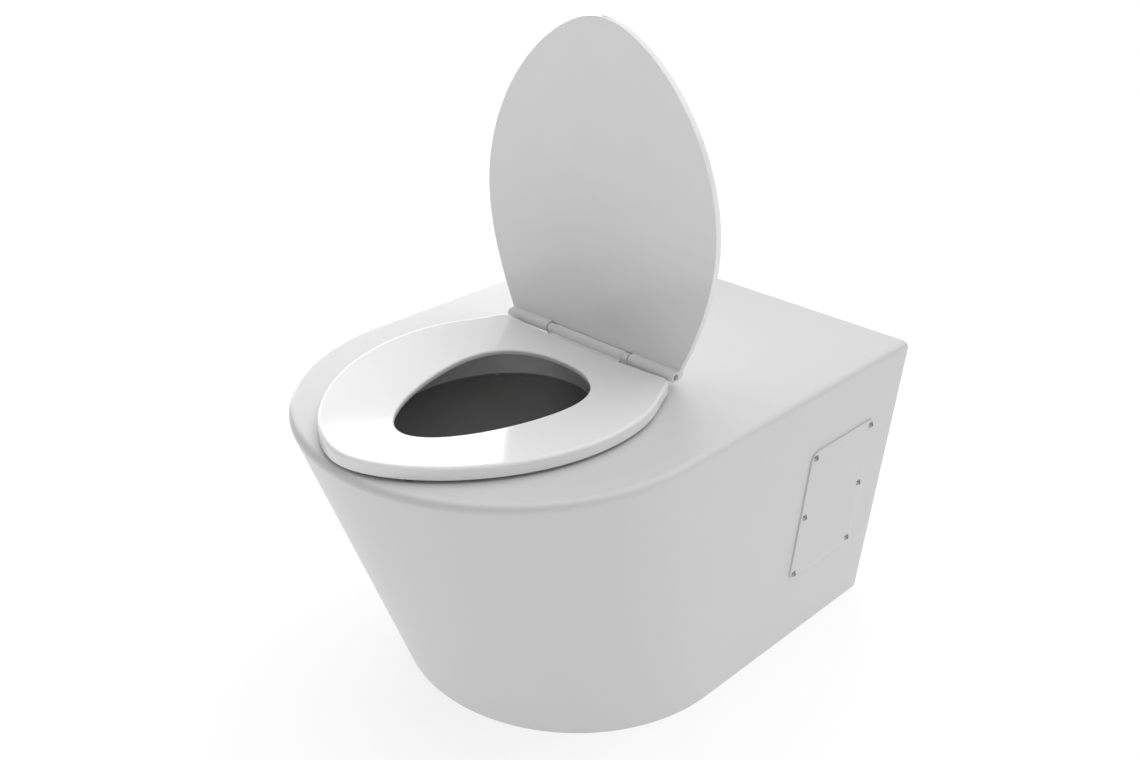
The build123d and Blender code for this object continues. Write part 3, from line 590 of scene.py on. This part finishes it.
def panel_screws(name, matrix):
    """Six dome-head screws with a hexagon socket, in two columns and three rows."""
    inputs = {"Span": screw_span, "Pitch": screw_pitch,
              "Head radius": screw_head_radius, "Head height": screw_head_height,
              "Shank radius": screw_radius, "Shank length": screw_length,
              "Socket radius": socket_radius, "Socket depth": socket_depth,
              "Seat height": gasket_thick + panel_thick, "Turn": tuple(matrix.to_euler()),
              "Place": tuple(matrix.translation), "Steel": bright}
    bench, size = geometry_tree("panel_screw_set", inputs)
    radius = (size["Head radius"] ** 2.0 + size["Head height"] ** 2.0) * 0.5 / size["Head height"]
    ball = bench.node("GeometryNodeMeshUVSphere", Segments=40, Rings=60, Radius=radius)
    down = bench.node("ShaderNodeCombineXYZ", Z=size["Head height"] - radius)
    ball = bench.node("GeometryNodeTransform", Geometry=ball, Translation=down)
    tall = 2.0 * size["Head height"]
    trim = bench.node("GeometryNodeMeshCylinder", Vertices=40, Radius=size["Head radius"] * 0.999,
                      Depth=tall)
    lift = bench.node("ShaderNodeCombineXYZ", Z=size["Head height"])
    trim = bench.node("GeometryNodeTransform", Geometry=trim, Translation=lift)
    dome = bench.node("GeometryNodeMeshBoolean", {"operation": "INTERSECT"}, Mesh_2=[ball, trim])
    key = bench.node("GeometryNodeMeshCylinder", Vertices=6, Radius=size["Socket radius"],
                     Depth=tall)
    high = bench.node("ShaderNodeCombineXYZ", Z=2.0 * size["Head height"] - size["Socket depth"])
    key = bench.node("GeometryNodeTransform", Geometry=key, Translation=high)
    head = bench.node("GeometryNodeMeshBoolean", {"operation": "DIFFERENCE"}, Mesh_1=dome,
                      Mesh_2=key)
    shank = bench.node("GeometryNodeMeshCylinder", Vertices=24, Radius=size["Shank radius"],
                       Depth=size["Shank length"])
    under = bench.node("ShaderNodeCombineXYZ", Z=size["Shank length"] * -0.5)
    shank = bench.node("GeometryNodeTransform", Geometry=shank, Translation=under)
    screw = bench.node("GeometryNodeJoinGeometry", Geometry=[head, shank])
    grid = bench.node("GeometryNodeMeshGrid", Size_X=size["Span"], Size_Y=2.0 * size["Pitch"],
                      Vertices_X=2, Vertices_Y=3)
    level = bench.node("ShaderNodeCombineXYZ", Z=size["Seat height"])
    grid = bench.node("GeometryNodeTransform", Geometry=grid, Translation=level)
    set_of_six = bench.node("GeometryNodeInstanceOnPoints", Points=grid, Instance=screw)
    laid = bench.node("GeometryNodeTransform", Geometry=set_of_six, Translation=size["Place"],
                      Rotation=size["Turn"])
    return grown(name, bench, laid, inputs, size["Steel"])


gasket_foam, steel, bright = foam(), plain_steel(), screw_metal()
for side, word in ((1, "right"), (-1, "left")):
    matrix = panel_matrix(side)
    high = gasket_thick + panel_thick
    plate = plate_loops(matrix, panel_width, panel_tall, panel_corner, gasket_thick, high,
                        panel_round)
    cover = lofted(f"panel_cover_{word}", plate)
    for x, y in screw_places():
        combined(cover, round_cutter(matrix, x, y, screw_clear, -high, 2 * high), "DIFFERENCE")
    dressed(cover, f"access_panel_{word}", coat, "coated_steel", f"access_panel_{word}")
    screws = panel_screws(f"panel_screw_set_{word}", matrix)
    dressed(screws, f"access_panel_{word}", bright, "screw_steel", f"panel_screws_{word}")
    nodes[f"panel_gasket_{word}"].material_slots[0].material = gasket_foam
    nodes[f"panel_frame_{word}"].material_slots[0].material = steel
    nodes[f"rivet_nuts_{word}"].material_slots[0].material = bright

# Base, wall frame and load frames
# A flange at the floor and a frame at the wall close the shell and carry the bolts. Inside, two
# frames of 30 mm box section take the load from the deck to the floor, tied to bowl and trap.

for name in ("base_flange", "wall_frame", "load_frame_right", "load_frame_left", "bowl_brackets",
             "trap_tie"):
    nodes[name].material_slots[0].material = steel


def brass_metal():
    """Machined brass, a little dulled."""
    finish = Finish("earth_brass", Metallic=1.0)
    dull = finish.noise(120.0, 3.0)
    finish.set(Base_Color=finish.between(dull, (0.50, 0.36, 0.12), (0.66, 0.50, 0.20)))
    finish.set(Roughness=0.30 + 0.2 * dull)
    return finish.data


brass = brass_metal()
for name in ("earth_stud", "earth_nut"):
    nodes[name].material_slots[0].material = brass

# Rim channel
# A collar of 2 mm stainless steel under the deck's opening, and below it a sloping perforated floor
# welded to the bowl, which spreads the flush water round the rim.

rim_channel_width = 0.024
rim_collar_low = deck_height - 0.028
rim_floor_low = deck_height - 0.044
jet_radius = 0.0025
jet_count = 24
jet_drill_length = 0.06


def satin_steel(name, dark, light):
    """Satin stainless steel, rubbed round in fine lines, with a soft cloudiness."""
    finish = Finish(name, Metallic=1.0)
    cloud = finish.noise(11.0, 3.0)
    lines = finish.noise(220.0, 2.0, 0.6, (1.0, 1.0, 9.0))
    finish.set(Base_Color=finish.between(cloud, (dark, dark, dark), (light, light, light)))
    finish.set(Roughness=0.46 + 0.10 * cloud + 0.08 * lines)
    finish.bumped(lines, 0.00003, 0.5)
    return finish.data


def ring_of(name, sections):
    """A closed ring through ovals, each given as a margin round the opening and a height."""
    return lofted(name, [at_height(rim_oval(margin), z) for margin, z in sections], ring=True)


def with_jets(ring):
    """Drill the channel's floor with evenly spaced upright holes along an oval in its middle."""
    line = bpy.data.meshes.new("jet_line")
    middle, z = (sheet + rim_channel_width) / 2, (rim_floor_low + rim_collar_low) / 2
    plan = at_height(rim_oval(middle), z)
    line.from_pydata(plan, [(i, (i + 1) % len(plan)) for i in range(len(plan))], [])
    path = new_object("jet_line", line)
    inputs = {"Radius": jet_radius, "Count": jet_count, "Depth": jet_drill_length,
              "Path": path, "Steel": satin_rim}
    bench, size = geometry_tree("jet_row", inputs)
    drawn = bench.node("GeometryNodeObjectInfo", output="Geometry", Object=size["Path"])
    drawn = bench.node("GeometryNodeMeshToCurve", Mesh=drawn)
    spots = bench.node("GeometryNodeCurveToPoints", Curve=drawn, Count=size["Count"])
    drill = bench.node("GeometryNodeMeshCylinder", Vertices=20, Radius=size["Radius"],
                       Depth=size["Depth"])
    drills = bench.node("GeometryNodeInstanceOnPoints", Points=spots, Instance=drill)
    cut = bench.node("GeometryNodeMeshBoolean", {"operation": "DIFFERENCE"}, Mesh_1=size["Start"],
                     Mesh_2=drills)
    grown("rim_ring", bench, cut, inputs, size["Steel"], ring)
    bpy.data.objects.remove(path)


# The bowl's steel is darker than real stainless: painted shade for the inside of the bowl.
satin = satin_steel("satin_bowl_steel", 0.36, 0.44)
# The rim's steel is much lighter than the bowl's, the same metal: painted light on the collar under
# the seat.
satin_rim = satin_steel("satin_rim_steel", 0.84, 0.92)
rim = ring_of("rim_ring", [
    (0, deck_height), (0, rim_collar_low - sheet), (sheet, rim_collar_low - sheet),
    (rim_channel_width, rim_floor_low - sheet), (rim_channel_width, rim_floor_low),
    (sheet, rim_collar_low), (sheet, deck_height)])
with_jets(rim)
dressed(rim, "pan", satin_rim, "bowl_steel", "rim_channel")

# Bowl
# Pressed from stainless steel: an upright wall welded under the deck, then a funnel that draws in
# from the oval of the rim to the round throat of the trap.

bowl_wall_low = deck_height - 0.062
throat_height = 0.170
throat_distance = 0.505
throat_bore = 0.050
flush_height = 0.414
flush_bore = 0.0174
flush_cut = (-0.006, 0.012)
bowl_levels = 28
bowl_level_shares = (0.0, 0.30, 0.66, 1.0)
bowl_narrow_shares = (0.0, 0.16, 0.55, 1.0)


def bowl_egg(narrow, grow):
    """A level of the funnel in plan, from the rim's oval (0) to the throat (1)."""
    def part(rim_size, throat_size):
        return rim_size + (throat_size - rim_size) * narrow
    middle = part(rim_distance, throat_distance)
    reach = part(rim_half_length + rim_channel_width, throat_bore) + grow
    half = part(rim_half_width + rim_channel_width, throat_bore) + grow
    return egg(middle + reach, middle, middle - reach, half, oval_round_shares)


def funnel(grow):
    """Loops from the deck down the wall and the funnel to the throat."""
    loops = [at_height(bowl_egg(0.0, grow), deck_height - sheet)]
    curve = np.polyfit(bowl_level_shares, bowl_narrow_shares, 3)
    for i in range(bowl_levels + 1):
        share = i / bowl_levels
        narrow = float(np.polyval(curve, share))
        z = bowl_wall_low + (throat_height - bowl_wall_low) * share
        loops.append(at_height(bowl_egg(min(max(narrow, 0.0), 1.0), grow), z))
    return loops


bowl = lofted("bowl_pressing", funnel(sheet) + funnel(0.0)[::-1], ring=True, sharp_degrees=50)
flush_place = (0, wall - rim_distance + rim_half_length + rim_channel_width, flush_height)
flush_way = Matrix.Translation(flush_place) @ Matrix.Rotation(math.radians(-90), 4, "X")
combined(bowl, round_cutter(flush_way, 0, 0, flush_bore, *flush_cut), "DIFFERENCE")
dressed(bowl, "pan", satin, "bowl_steel", "bowl")

# Trap, outlet and flush pipe
# A bent pipe of 104 mm under the bowl holds the water seal, rises over a weir and falls to the
# soil outlet at the wall, with a cleanout plug behind the right access panel. The flush pipe
# enters high.

for name in ("trap_bend", "trap_riser", "outlet_pipe", "outlet_spigot", "cleanout_ferrule",
             "cleanout_plug", "flush_pipe"):
    nodes[name].material_slots[0].material = steel


def rubber(name, dark, light):
    """Moulded rubber: dull, with a fine grain."""
    finish = Finish(name, Metallic=0.0)
    grain = finish.noise(500.0, 2.0)
    finish.set(Base_Color=finish.between(grain, (dark, dark, dark), (light, light, light)))
    finish.set(Roughness=0.62 + 0.2 * grain)
    finish.bumped(grain, 0.00005, 0.5)
    return finish.data


black_rubber = rubber("black_rubber", 0.018, 0.03)
for name in ("flush_seal", "cleanout_gasket"):
    nodes[name].material_slots[0].material = black_rubber

# Hinge
# A steel rod through the knuckles of seat and lid, held by two posts whose studs go through the
# deck and a stiffener bar under it. Nylon bushes run on the rod.


def nylon_plastic():
    """Natural nylon: milky, half dull."""
    finish = Finish("natural_nylon", Metallic=0.0)
    cloud = finish.noise(90.0, 2.0)
    finish.set(Base_Color=finish.between(cloud, (0.66, 0.65, 0.61), (0.74, 0.73, 0.69)))
    finish.set(Roughness=0.42 + 0.1 * cloud)
    return finish.data


nylon = nylon_plastic()
for name in ("hinge_rod", "hinge_washers", "hinge_nuts"):
    nodes[name].material_slots[0].material = bright
nodes["hinge_stiffener"].material_slots[0].material = steel
for name in ("seat_bushes", "lid_bushes"):
    nodes[name].material_slots[0].material = nylon

# Seat
# Solid moulded ring, dished on top, with a soft edge all round and a small one at the hole. The
# middle knuckle of the hinge grows from its back edge.

hole_front = 0.691
hole_widest = 0.499
hole_back = 0.415
hole_half_width = 0.0965
hole_round_shares = (0.54, 0.36, 0.86, 0.37)
seat_front = 0.794
seat_widest = 0.525
seat_half_width = 0.204
seat_back = 0.367
seat_back_half_width = 0.158
seat_nose_shares = (0.37, 0.565)
seat_tail_shares = (0.54, 0.30)
seat_tail_lean_share = 0.30
seat_corner = 0.018
seat_gap = 0.0045
seat_crest = 0.0226
seat_inner_height = 0.0105
seat_inner_margin = 0.004
seat_dish_margin = 0.016
seat_dish_back = 0.325
seat_dish_rear_shares = (0.85, 0.80)
seat_edge_radius = 0.004
seat_inner_radius = 0.003
seat_foot_radius = 0.0012
seat_section_steps = 88
hinge_height = 0.020
knuckle_radius = 0.008
bush_radius = 0.0052
seat_knuckle_half = 0.0648
seat_crest_point = 11
knuckle_end_round = 0.0006
web_sink = 0.00003
web_end_gap = 0.001
web_root_depth = 0.002
web_root_drop = 0.003
bore_reach = 0.17


def seat_plan(steps=160, corner_steps=24, back_steps=30):
    """Dense plan of the seat's outer edge, from its tip round by the right."""
    tip, wide, back = wall - seat_front, wall - seat_widest, wall - seat_back
    full, tail = seat_tail_shares
    half, end = seat_half_width, seat_back_half_width
    full_point = (half, wide + full * (back - wide))
    lean_point = (end + seat_tail_lean_share * (half - end), back - tail * (back - wide))
    right = half_nose(tip, wide, half, seat_nose_shares, steps)
    right += bezier((half, wide), full_point, lean_point, (end, back), steps)
    corner = Vector((end, back))
    lead = (corner - Vector(lean_point)).normalized()
    bend = math.acos(lead.dot(Vector((-1, 0)))) / 2
    cut = seat_corner * math.tan(bend)
    right = [p for p in right if (Vector(p) - corner).length > cut]
    start, finish = corner - lead * cut, corner + Vector((-cut, 0))
    middle = Vector((finish.x, back - seat_corner))
    first = math.atan2(start.y - middle.y, start.x - middle.x)
    for i in range(corner_steps + 1):
        angle = first + (math.pi / 2 - first) * i / corner_steps
        right.append((middle.x + seat_corner * math.cos(angle),
                      middle.y + seat_corner * math.sin(angle)))
    right += [(finish.x * (1 - i / back_steps), back) for i in range(1, back_steps)]
    return right + [(0, back)] + mirrored(right)


def crossing(a, b, outline, least=0.2, tiny=1e-15, slack=1e-9):
    """Where a plan ray from a through b meets a closed outline, as a share of the way to b."""
    a, b = np.array(a), np.array(b)
    points = np.array(outline)
    ends = np.roll(points, -1, axis=0)
    way, runs, gaps = b - a, ends - points, points - a
    cross = way[0] * runs[:, 1] - way[1] * runs[:, 0]
    cross[abs(cross) < tiny] = tiny
    t = (gaps[:, 0] * runs[:, 1] - gaps[:, 1] * runs[:, 0]) / cross
    u = (gaps[:, 0] * way[1] - gaps[:, 1] * way[0]) / cross
    hits = t[(u >= -slack) & (u <= 1 + slack) & (t > least)]
    return float(hits.min())


def soft_corners(corners, radii, steps=7, support=0.0005):
    """A closed section with its corners rounded: two support points beside each rounding."""
    points = []
    count = len(corners)
    for i, (corner, radius) in enumerate(zip(corners, radii)):
        corner = Vector(corner)
        if not radius:
            points.append(corner)
            continue
        before = (Vector(corners[i - 1]) - corner).normalized()
        after = (Vector(corners[(i + 1) % count]) - corner).normalized()
        half = before.angle(after) / 2
        reach = radius / math.tan(half)
        middle = corner + (before + after).normalized() * radius / math.sin(half)
        points.append(corner + before * (reach + support))
        first, last = corner + before * reach - middle, corner + after * reach - middle
        turn = first.angle(last)
        for j in range(steps + 1):
            a, b = math.sin(turn * (1 - j / steps)), math.sin(turn * j / steps)
            points.append(middle + (first * a + last * b) / math.sin(turn))
        points.append(corner + after * (reach + support))
    return points


def seat_sections():
    """Sections of the ring, each on a straight line from the hole's egg to the dish's outer egg."""
    low, inside, outside = seat_inner_height, seat_inner_margin, seat_dish_margin
    rise = (seat_crest - low) * outside / (seat_half_width - hole_half_width)
    inner = egg(hole_front + inside, hole_widest, hole_back - inside, hole_half_width + inside,
                hole_round_shares, seat_section_steps)
    outer = egg(seat_front + outside, seat_widest, seat_dish_back, seat_half_width + outside,
                seat_nose_shares + seat_dish_rear_shares, seat_section_steps)
    outline = seat_plan()
    loops = []
    for a, b in zip(inner, outer):
        share = crossing(a, b, outline)
        reach = (Vector(b) - Vector(a)).length * share
        crest = low + (seat_crest + rise - low) * share
        corners = [(0, seat_gap), (0, low), (reach, crest), (reach, seat_gap)]
        section = soft_corners(corners, (0, seat_inner_radius, seat_edge_radius, seat_foot_radius))
        way = (Vector(b) - Vector(a)).normalized()
        loops.append([Vector((a[0] + way.x * s, a[1] + way.y * s, deck_height + h))
                      for s, h in section])
    return loops


def seat_plastic():
    """Glossy white moulded plastic with a very slight waviness."""
    finish = Finish("seat_plastic_white", Metallic=0.0, IOR=1.49, Coat_Weight=0.15,
                    Coat_Roughness=0.06)
    wave = finish.noise(16.0, 2.0)
    fine = finish.noise(900.0, 2.0)
    finish.set(Base_Color=finish.between(wave, (0.86, 0.86, 0.86), (0.89, 0.89, 0.89)))
    finish.set(Roughness=0.10 + 0.04 * wave + 0.03 * fine)
    finish.bumped(wave + 0.02 * fine, 0.0003, 0.2)
    return finish.data


def seat_web():
    """Web between the ring and its knuckle, its top in line with the ring's own back edge."""
    foot, near_back = axis_z - knuckle_radius, wall - seat_back - 2 * seat_edge_radius
    crests = [loop[seat_crest_point] for loop in seat_sections()]
    crests = sorted((p.x, p.y, p.z) for p in crests if p.y > near_back)
    xs, ys, zs = zip(*crests)
    stations = [x for x in xs if abs(x) < seat_knuckle_half - web_end_gap]
    loops = []
    for x in [-seat_knuckle_half] + stations + [seat_knuckle_half]:
        y, z = float(np.interp(x, xs, ys)), float(np.interp(x, xs, zs)) - web_sink
        root = y - web_root_depth
        profile = [(axis_y, foot), (axis_y, z), (y, z), (root, z - web_root_drop), (root, foot)]
        loops.append([Vector((x, b, c)) for b, c in profile])
    return lofted("web", loops)


def on_axis(name, half, radius, sides=48, end_round=0.0):
    """A round bar on the hinge's axis, as long to the left as to the right."""
    rings = [(-half, radius), (half, radius)]
    if end_round:
        full, slim = half - end_round, radius - end_round
        rings = [(-half, slim), (-full, radius), (full, radius), (half, slim)]
    return lofted(name, [[Vector((x, axis_y + a, axis_z + b)) for a, b in circle(r, sides)]
                         for x, r in rings])


moulded = seat_plastic()
axis_y, axis_z = wall - hinge_distance, deck_height + hinge_height
seat = lofted("seat_ring_moulding", seat_sections(), ring=True, sharp_degrees=50)
combined(seat, seat_web(), "UNION")
knuckle = on_axis("knuckle", seat_knuckle_half, knuckle_radius, end_round=knuckle_end_round)
combined(seat, knuckle, "UNION")
combined(seat, on_axis("bore", bore_reach, bush_radius), "DIFFERENCE")
dressed(seat, "seat", moulded, "seat_plastic", "seat_ring")
for name in ("hinge_posts", "hinge_grub_screws"):
    nodes[name].material_slots[0].material = moulded
nodes["seat_buffers"].material_slots[0].material = rubber("grey_rubber", 0.10, 0.14)

# Lid
# Moulded plate, standing open against its stops, with a soft outer edge and a crisp inner one. A
# heel at each side carries an outer knuckle, and a groove clears the seat's knuckle and the posts.

lid_tip = 0.446
lid_widest = 0.184
lid_half_width = 0.205
lid_foot_half_width = 0.156
lid_thick = 0.013
lid_face_offset = 0.005
lid_nose_shares = (0.39, 0.56)
lid_tail_shares = (0.49, 0.03)
lid_outer_radius = 0.005
lid_inner_radius = 0.001
lid_root_height = 0.004
lid_foot_drop = 0.004
lid_heel_radius = 0.010
lid_knuckle_start = 0.0774
lid_groove_gap = 0.0003
lid_front_round = 0.0008
lid_sink = 0.00003
lid_support = 0.0006


def lid_outline(steps=64):
    """The lid seen from the front, standing open: from its tip round by the right to its foot."""
    half, end = lid_half_width, lid_foot_half_width
    full, tail = lid_tail_shares
    root, wide = lid_root_height, lid_widest
    full_point, tail_point = (half, wide - full * (wide - root)), (end, root + tail * (wide - root))
    right = half_nose(lid_tip, wide, half, lid_nose_shares, steps)
    right += bezier((half, wide), full_point, tail_point, (end, root), steps)
    right += [(end, root), (end, -lid_foot_drop)]
    return right + mirrored(right)


def lid_inset(outline, depth):
    """The outline drawn in by a depth, except along its foot."""
    count = len(outline)
    drawn = []
    for i, (x, z) in enumerate(outline):
        before, after = outline[i - 1], outline[(i + 1) % count]
        if z <= -lid_foot_drop + 1e-6:
            drawn.append((x - math.copysign(depth, x), z))
            continue
        way = Vector((after[0] - before[0], after[1] - before[1])).normalized()
        drawn.append((x + way.y * depth, z - way.x * depth))
    return drawn


def lid_plate(inner_steps=4, outer_steps=9):
    """The plate: its inner face in front, its rounded outer face behind."""
    outline = lid_outline()
    front = axis_y + lid_face_offset
    back = front + lid_thick
    levels = [(lid_inner_radius + lid_support, front)]
    for i in range(inner_steps + 1):
        angle = math.pi / 2 * i / inner_steps
        inward, deep = 1 - math.sin(angle), 1 - math.cos(angle)
        levels.append((lid_inner_radius * inward, front + lid_inner_radius * deep))
    for i in range(outer_steps + 1):
        angle = math.pi / 2 * i / outer_steps
        inward, deep = 1 - math.cos(angle), 1 - math.sin(angle)
        levels.append((lid_outer_radius * inward, back - lid_outer_radius * deep))
    levels.append((lid_outer_radius + lid_support, back))
    loops = [[Vector((x, y, axis_z + z)) for x, z in lid_inset(outline, depth)]
             for depth, y in levels]
    return lofted("lid_moulding", loops)


def lid_heel(side, end_steps=8, front_steps=24, corner_steps=12):
    """One heel and knuckle: round in front, flat above and below, its lower back corner round."""
    back = lid_face_offset + lid_thick - lid_sink
    far = lid_foot_half_width + lid_sink
    ends = [(lid_knuckle_start, 0.0), (far - lid_outer_radius, 0.0)]
    for i in range(1, end_steps + 1):
        angle = math.pi / 2 * i / end_steps
        ends.append((far - lid_outer_radius * (1 - math.sin(angle)), 1 - math.cos(angle)))
    loops = []
    for x, share in ends:
        round_front = knuckle_radius - lid_front_round * share
        round_back = lid_heel_radius - lid_outer_radius * share
        loop = []
        for i in range(front_steps + 1):
            angle = math.pi / 2 + math.pi * i / front_steps
            loop.append((round_front * math.cos(angle), round_front * math.sin(angle)))
        for i in range(corner_steps + 1):
            angle = -math.pi / 2 + math.pi / 2 * i / corner_steps
            loop.append((back - lid_heel_radius + round_back * math.cos(angle),
                         lid_heel_radius - knuckle_radius + round_back * math.sin(angle)))
        loop.append((back - lid_outer_radius * share, knuckle_radius))
        loops.append([Vector((side * x, axis_y + y, axis_z + z)) for y, z in loop])
    return lofted("heel", loops, sharp_degrees=50)


lid = lid_plate()
groove = on_axis("groove", lid_knuckle_start, knuckle_radius + lid_groove_gap, sides=64)
combined(lid, groove, "DIFFERENCE")
for side in (1, -1):
    combined(lid, lid_heel(side), "UNION")
combined(lid, on_axis("bore", bore_reach, bush_radius), "DIFFERENCE")
dressed(lid, "lid", moulded, "seat_plastic", "lid")

# Studio
# A plain pale floor that sweeps up far behind everything, and soft light: a dim sky, four very wide
# soft lights overhead and a weak softbox on the left. The camera stands where the photo was taken.

floor_reach = 30.0
floor_sides = 96
floor_sweep = ((0.0, 0.0), (1.2, 0.2), (2.0, 0.7), (2.4, 1.4), (2.5, 2.6))
floor_points = [(x, y, up) for out, up in floor_sweep
                for x, y in circle(floor_reach + out, floor_sides)]
floor_faces = [tuple(range(floor_sides))]
for ring in range(len(floor_sweep) - 1):
    for i in range(floor_sides):
        a, b = ring * floor_sides + i, ring * floor_sides + (i + 1) % floor_sides
        floor_faces.append((a, a + floor_sides, b + floor_sides, b))
floor_mesh = bpy.data.meshes.new("studio_floor")
floor_mesh.from_pydata(floor_points, [], floor_faces)
floor = new_object("studio_floor", floor_mesh)
paint = Finish("studio_floor_paint", Roughness=0.9, Metallic=0.0, Emission_Strength=0.78)
speck = paint.noise(3.0, 2.0)
paint.set(Base_Color=paint.between(speck, (0.22, 0.22, 0.22), (0.23, 0.23, 0.23)))
paint.set(Emission_Color=(1, 1, 1, 1))
floor.data.materials.append(paint.data)
floor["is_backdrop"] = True

world = bpy.data.worlds.new("studio")
world.use_nodes = True
bpy.context.scene.world = world
sky = Bench(world.node_tree)
way = sky.node("ShaderNodeTexCoord", output="Generated")
height = sky.node("ShaderNodeSeparateXYZ", output="Z", Vector=way)
glow = sky.node("ShaderNodeValToRGB", {"stops": ((0.08, 0.40), (0.30, 0.12))}, Fac=height)
sky.plug(world.node_tree.nodes["Background"].inputs["Color"], glow)
bpy.context.scene.view_settings.view_transform = "Standard"

overhead_spread = math.radians(90)
overhead_lights = (("behind", (0.0, 0.50, 0.85), 1.85), ("right", (0.5, 0.10, 0.85), 0.45),
                   ("front", (-0.1, -0.50, 0.85), 0.15), ("top", (0.0, -0.05, 1.0), 0.35))
for name, way, power in overhead_lights:
    lamp = bpy.data.lights.new(f"overhead_{name}", "SUN")
    lamp.energy, lamp.angle = power, overhead_spread
    overhead = new_object(lamp.name, lamp)
    overhead.rotation_euler = Vector(way).to_track_quat("Z", "Y").to_euler()

softbox_place, softbox_aim = Vector((-2.6, 1.2, 1.0)), Vector((0, 0, 0.35))
softbox_width, softbox_tall, softbox_power = 2.4, 2.0, 38
glow_panel = bpy.data.lights.new("left_wall", "AREA")
glow_panel.shape, glow_panel.energy = "RECTANGLE", softbox_power
glow_panel.size, glow_panel.size_y = softbox_width, softbox_tall
softbox = new_object("left_wall", glow_panel)
softbox.location = softbox_place
softbox.rotation_euler = (softbox_aim - softbox_place).to_track_quat("-Z", "Y").to_euler()
softbox.visible_camera = False

lens = bpy.data.cameras.new("photo_view")
lens.lens, lens.sensor_width = 41.75, 36.0
lens.shift_x, lens.shift_y = 0.0233, 0.0066
camera = new_object("photo_view", lens)
camera.location = (1.1320, -1.1902, 1.2345)
camera.rotation_euler = (math.radians(63.23), 0, math.radians(44.71))
bpy.context.scene.camera = camera

low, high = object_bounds()
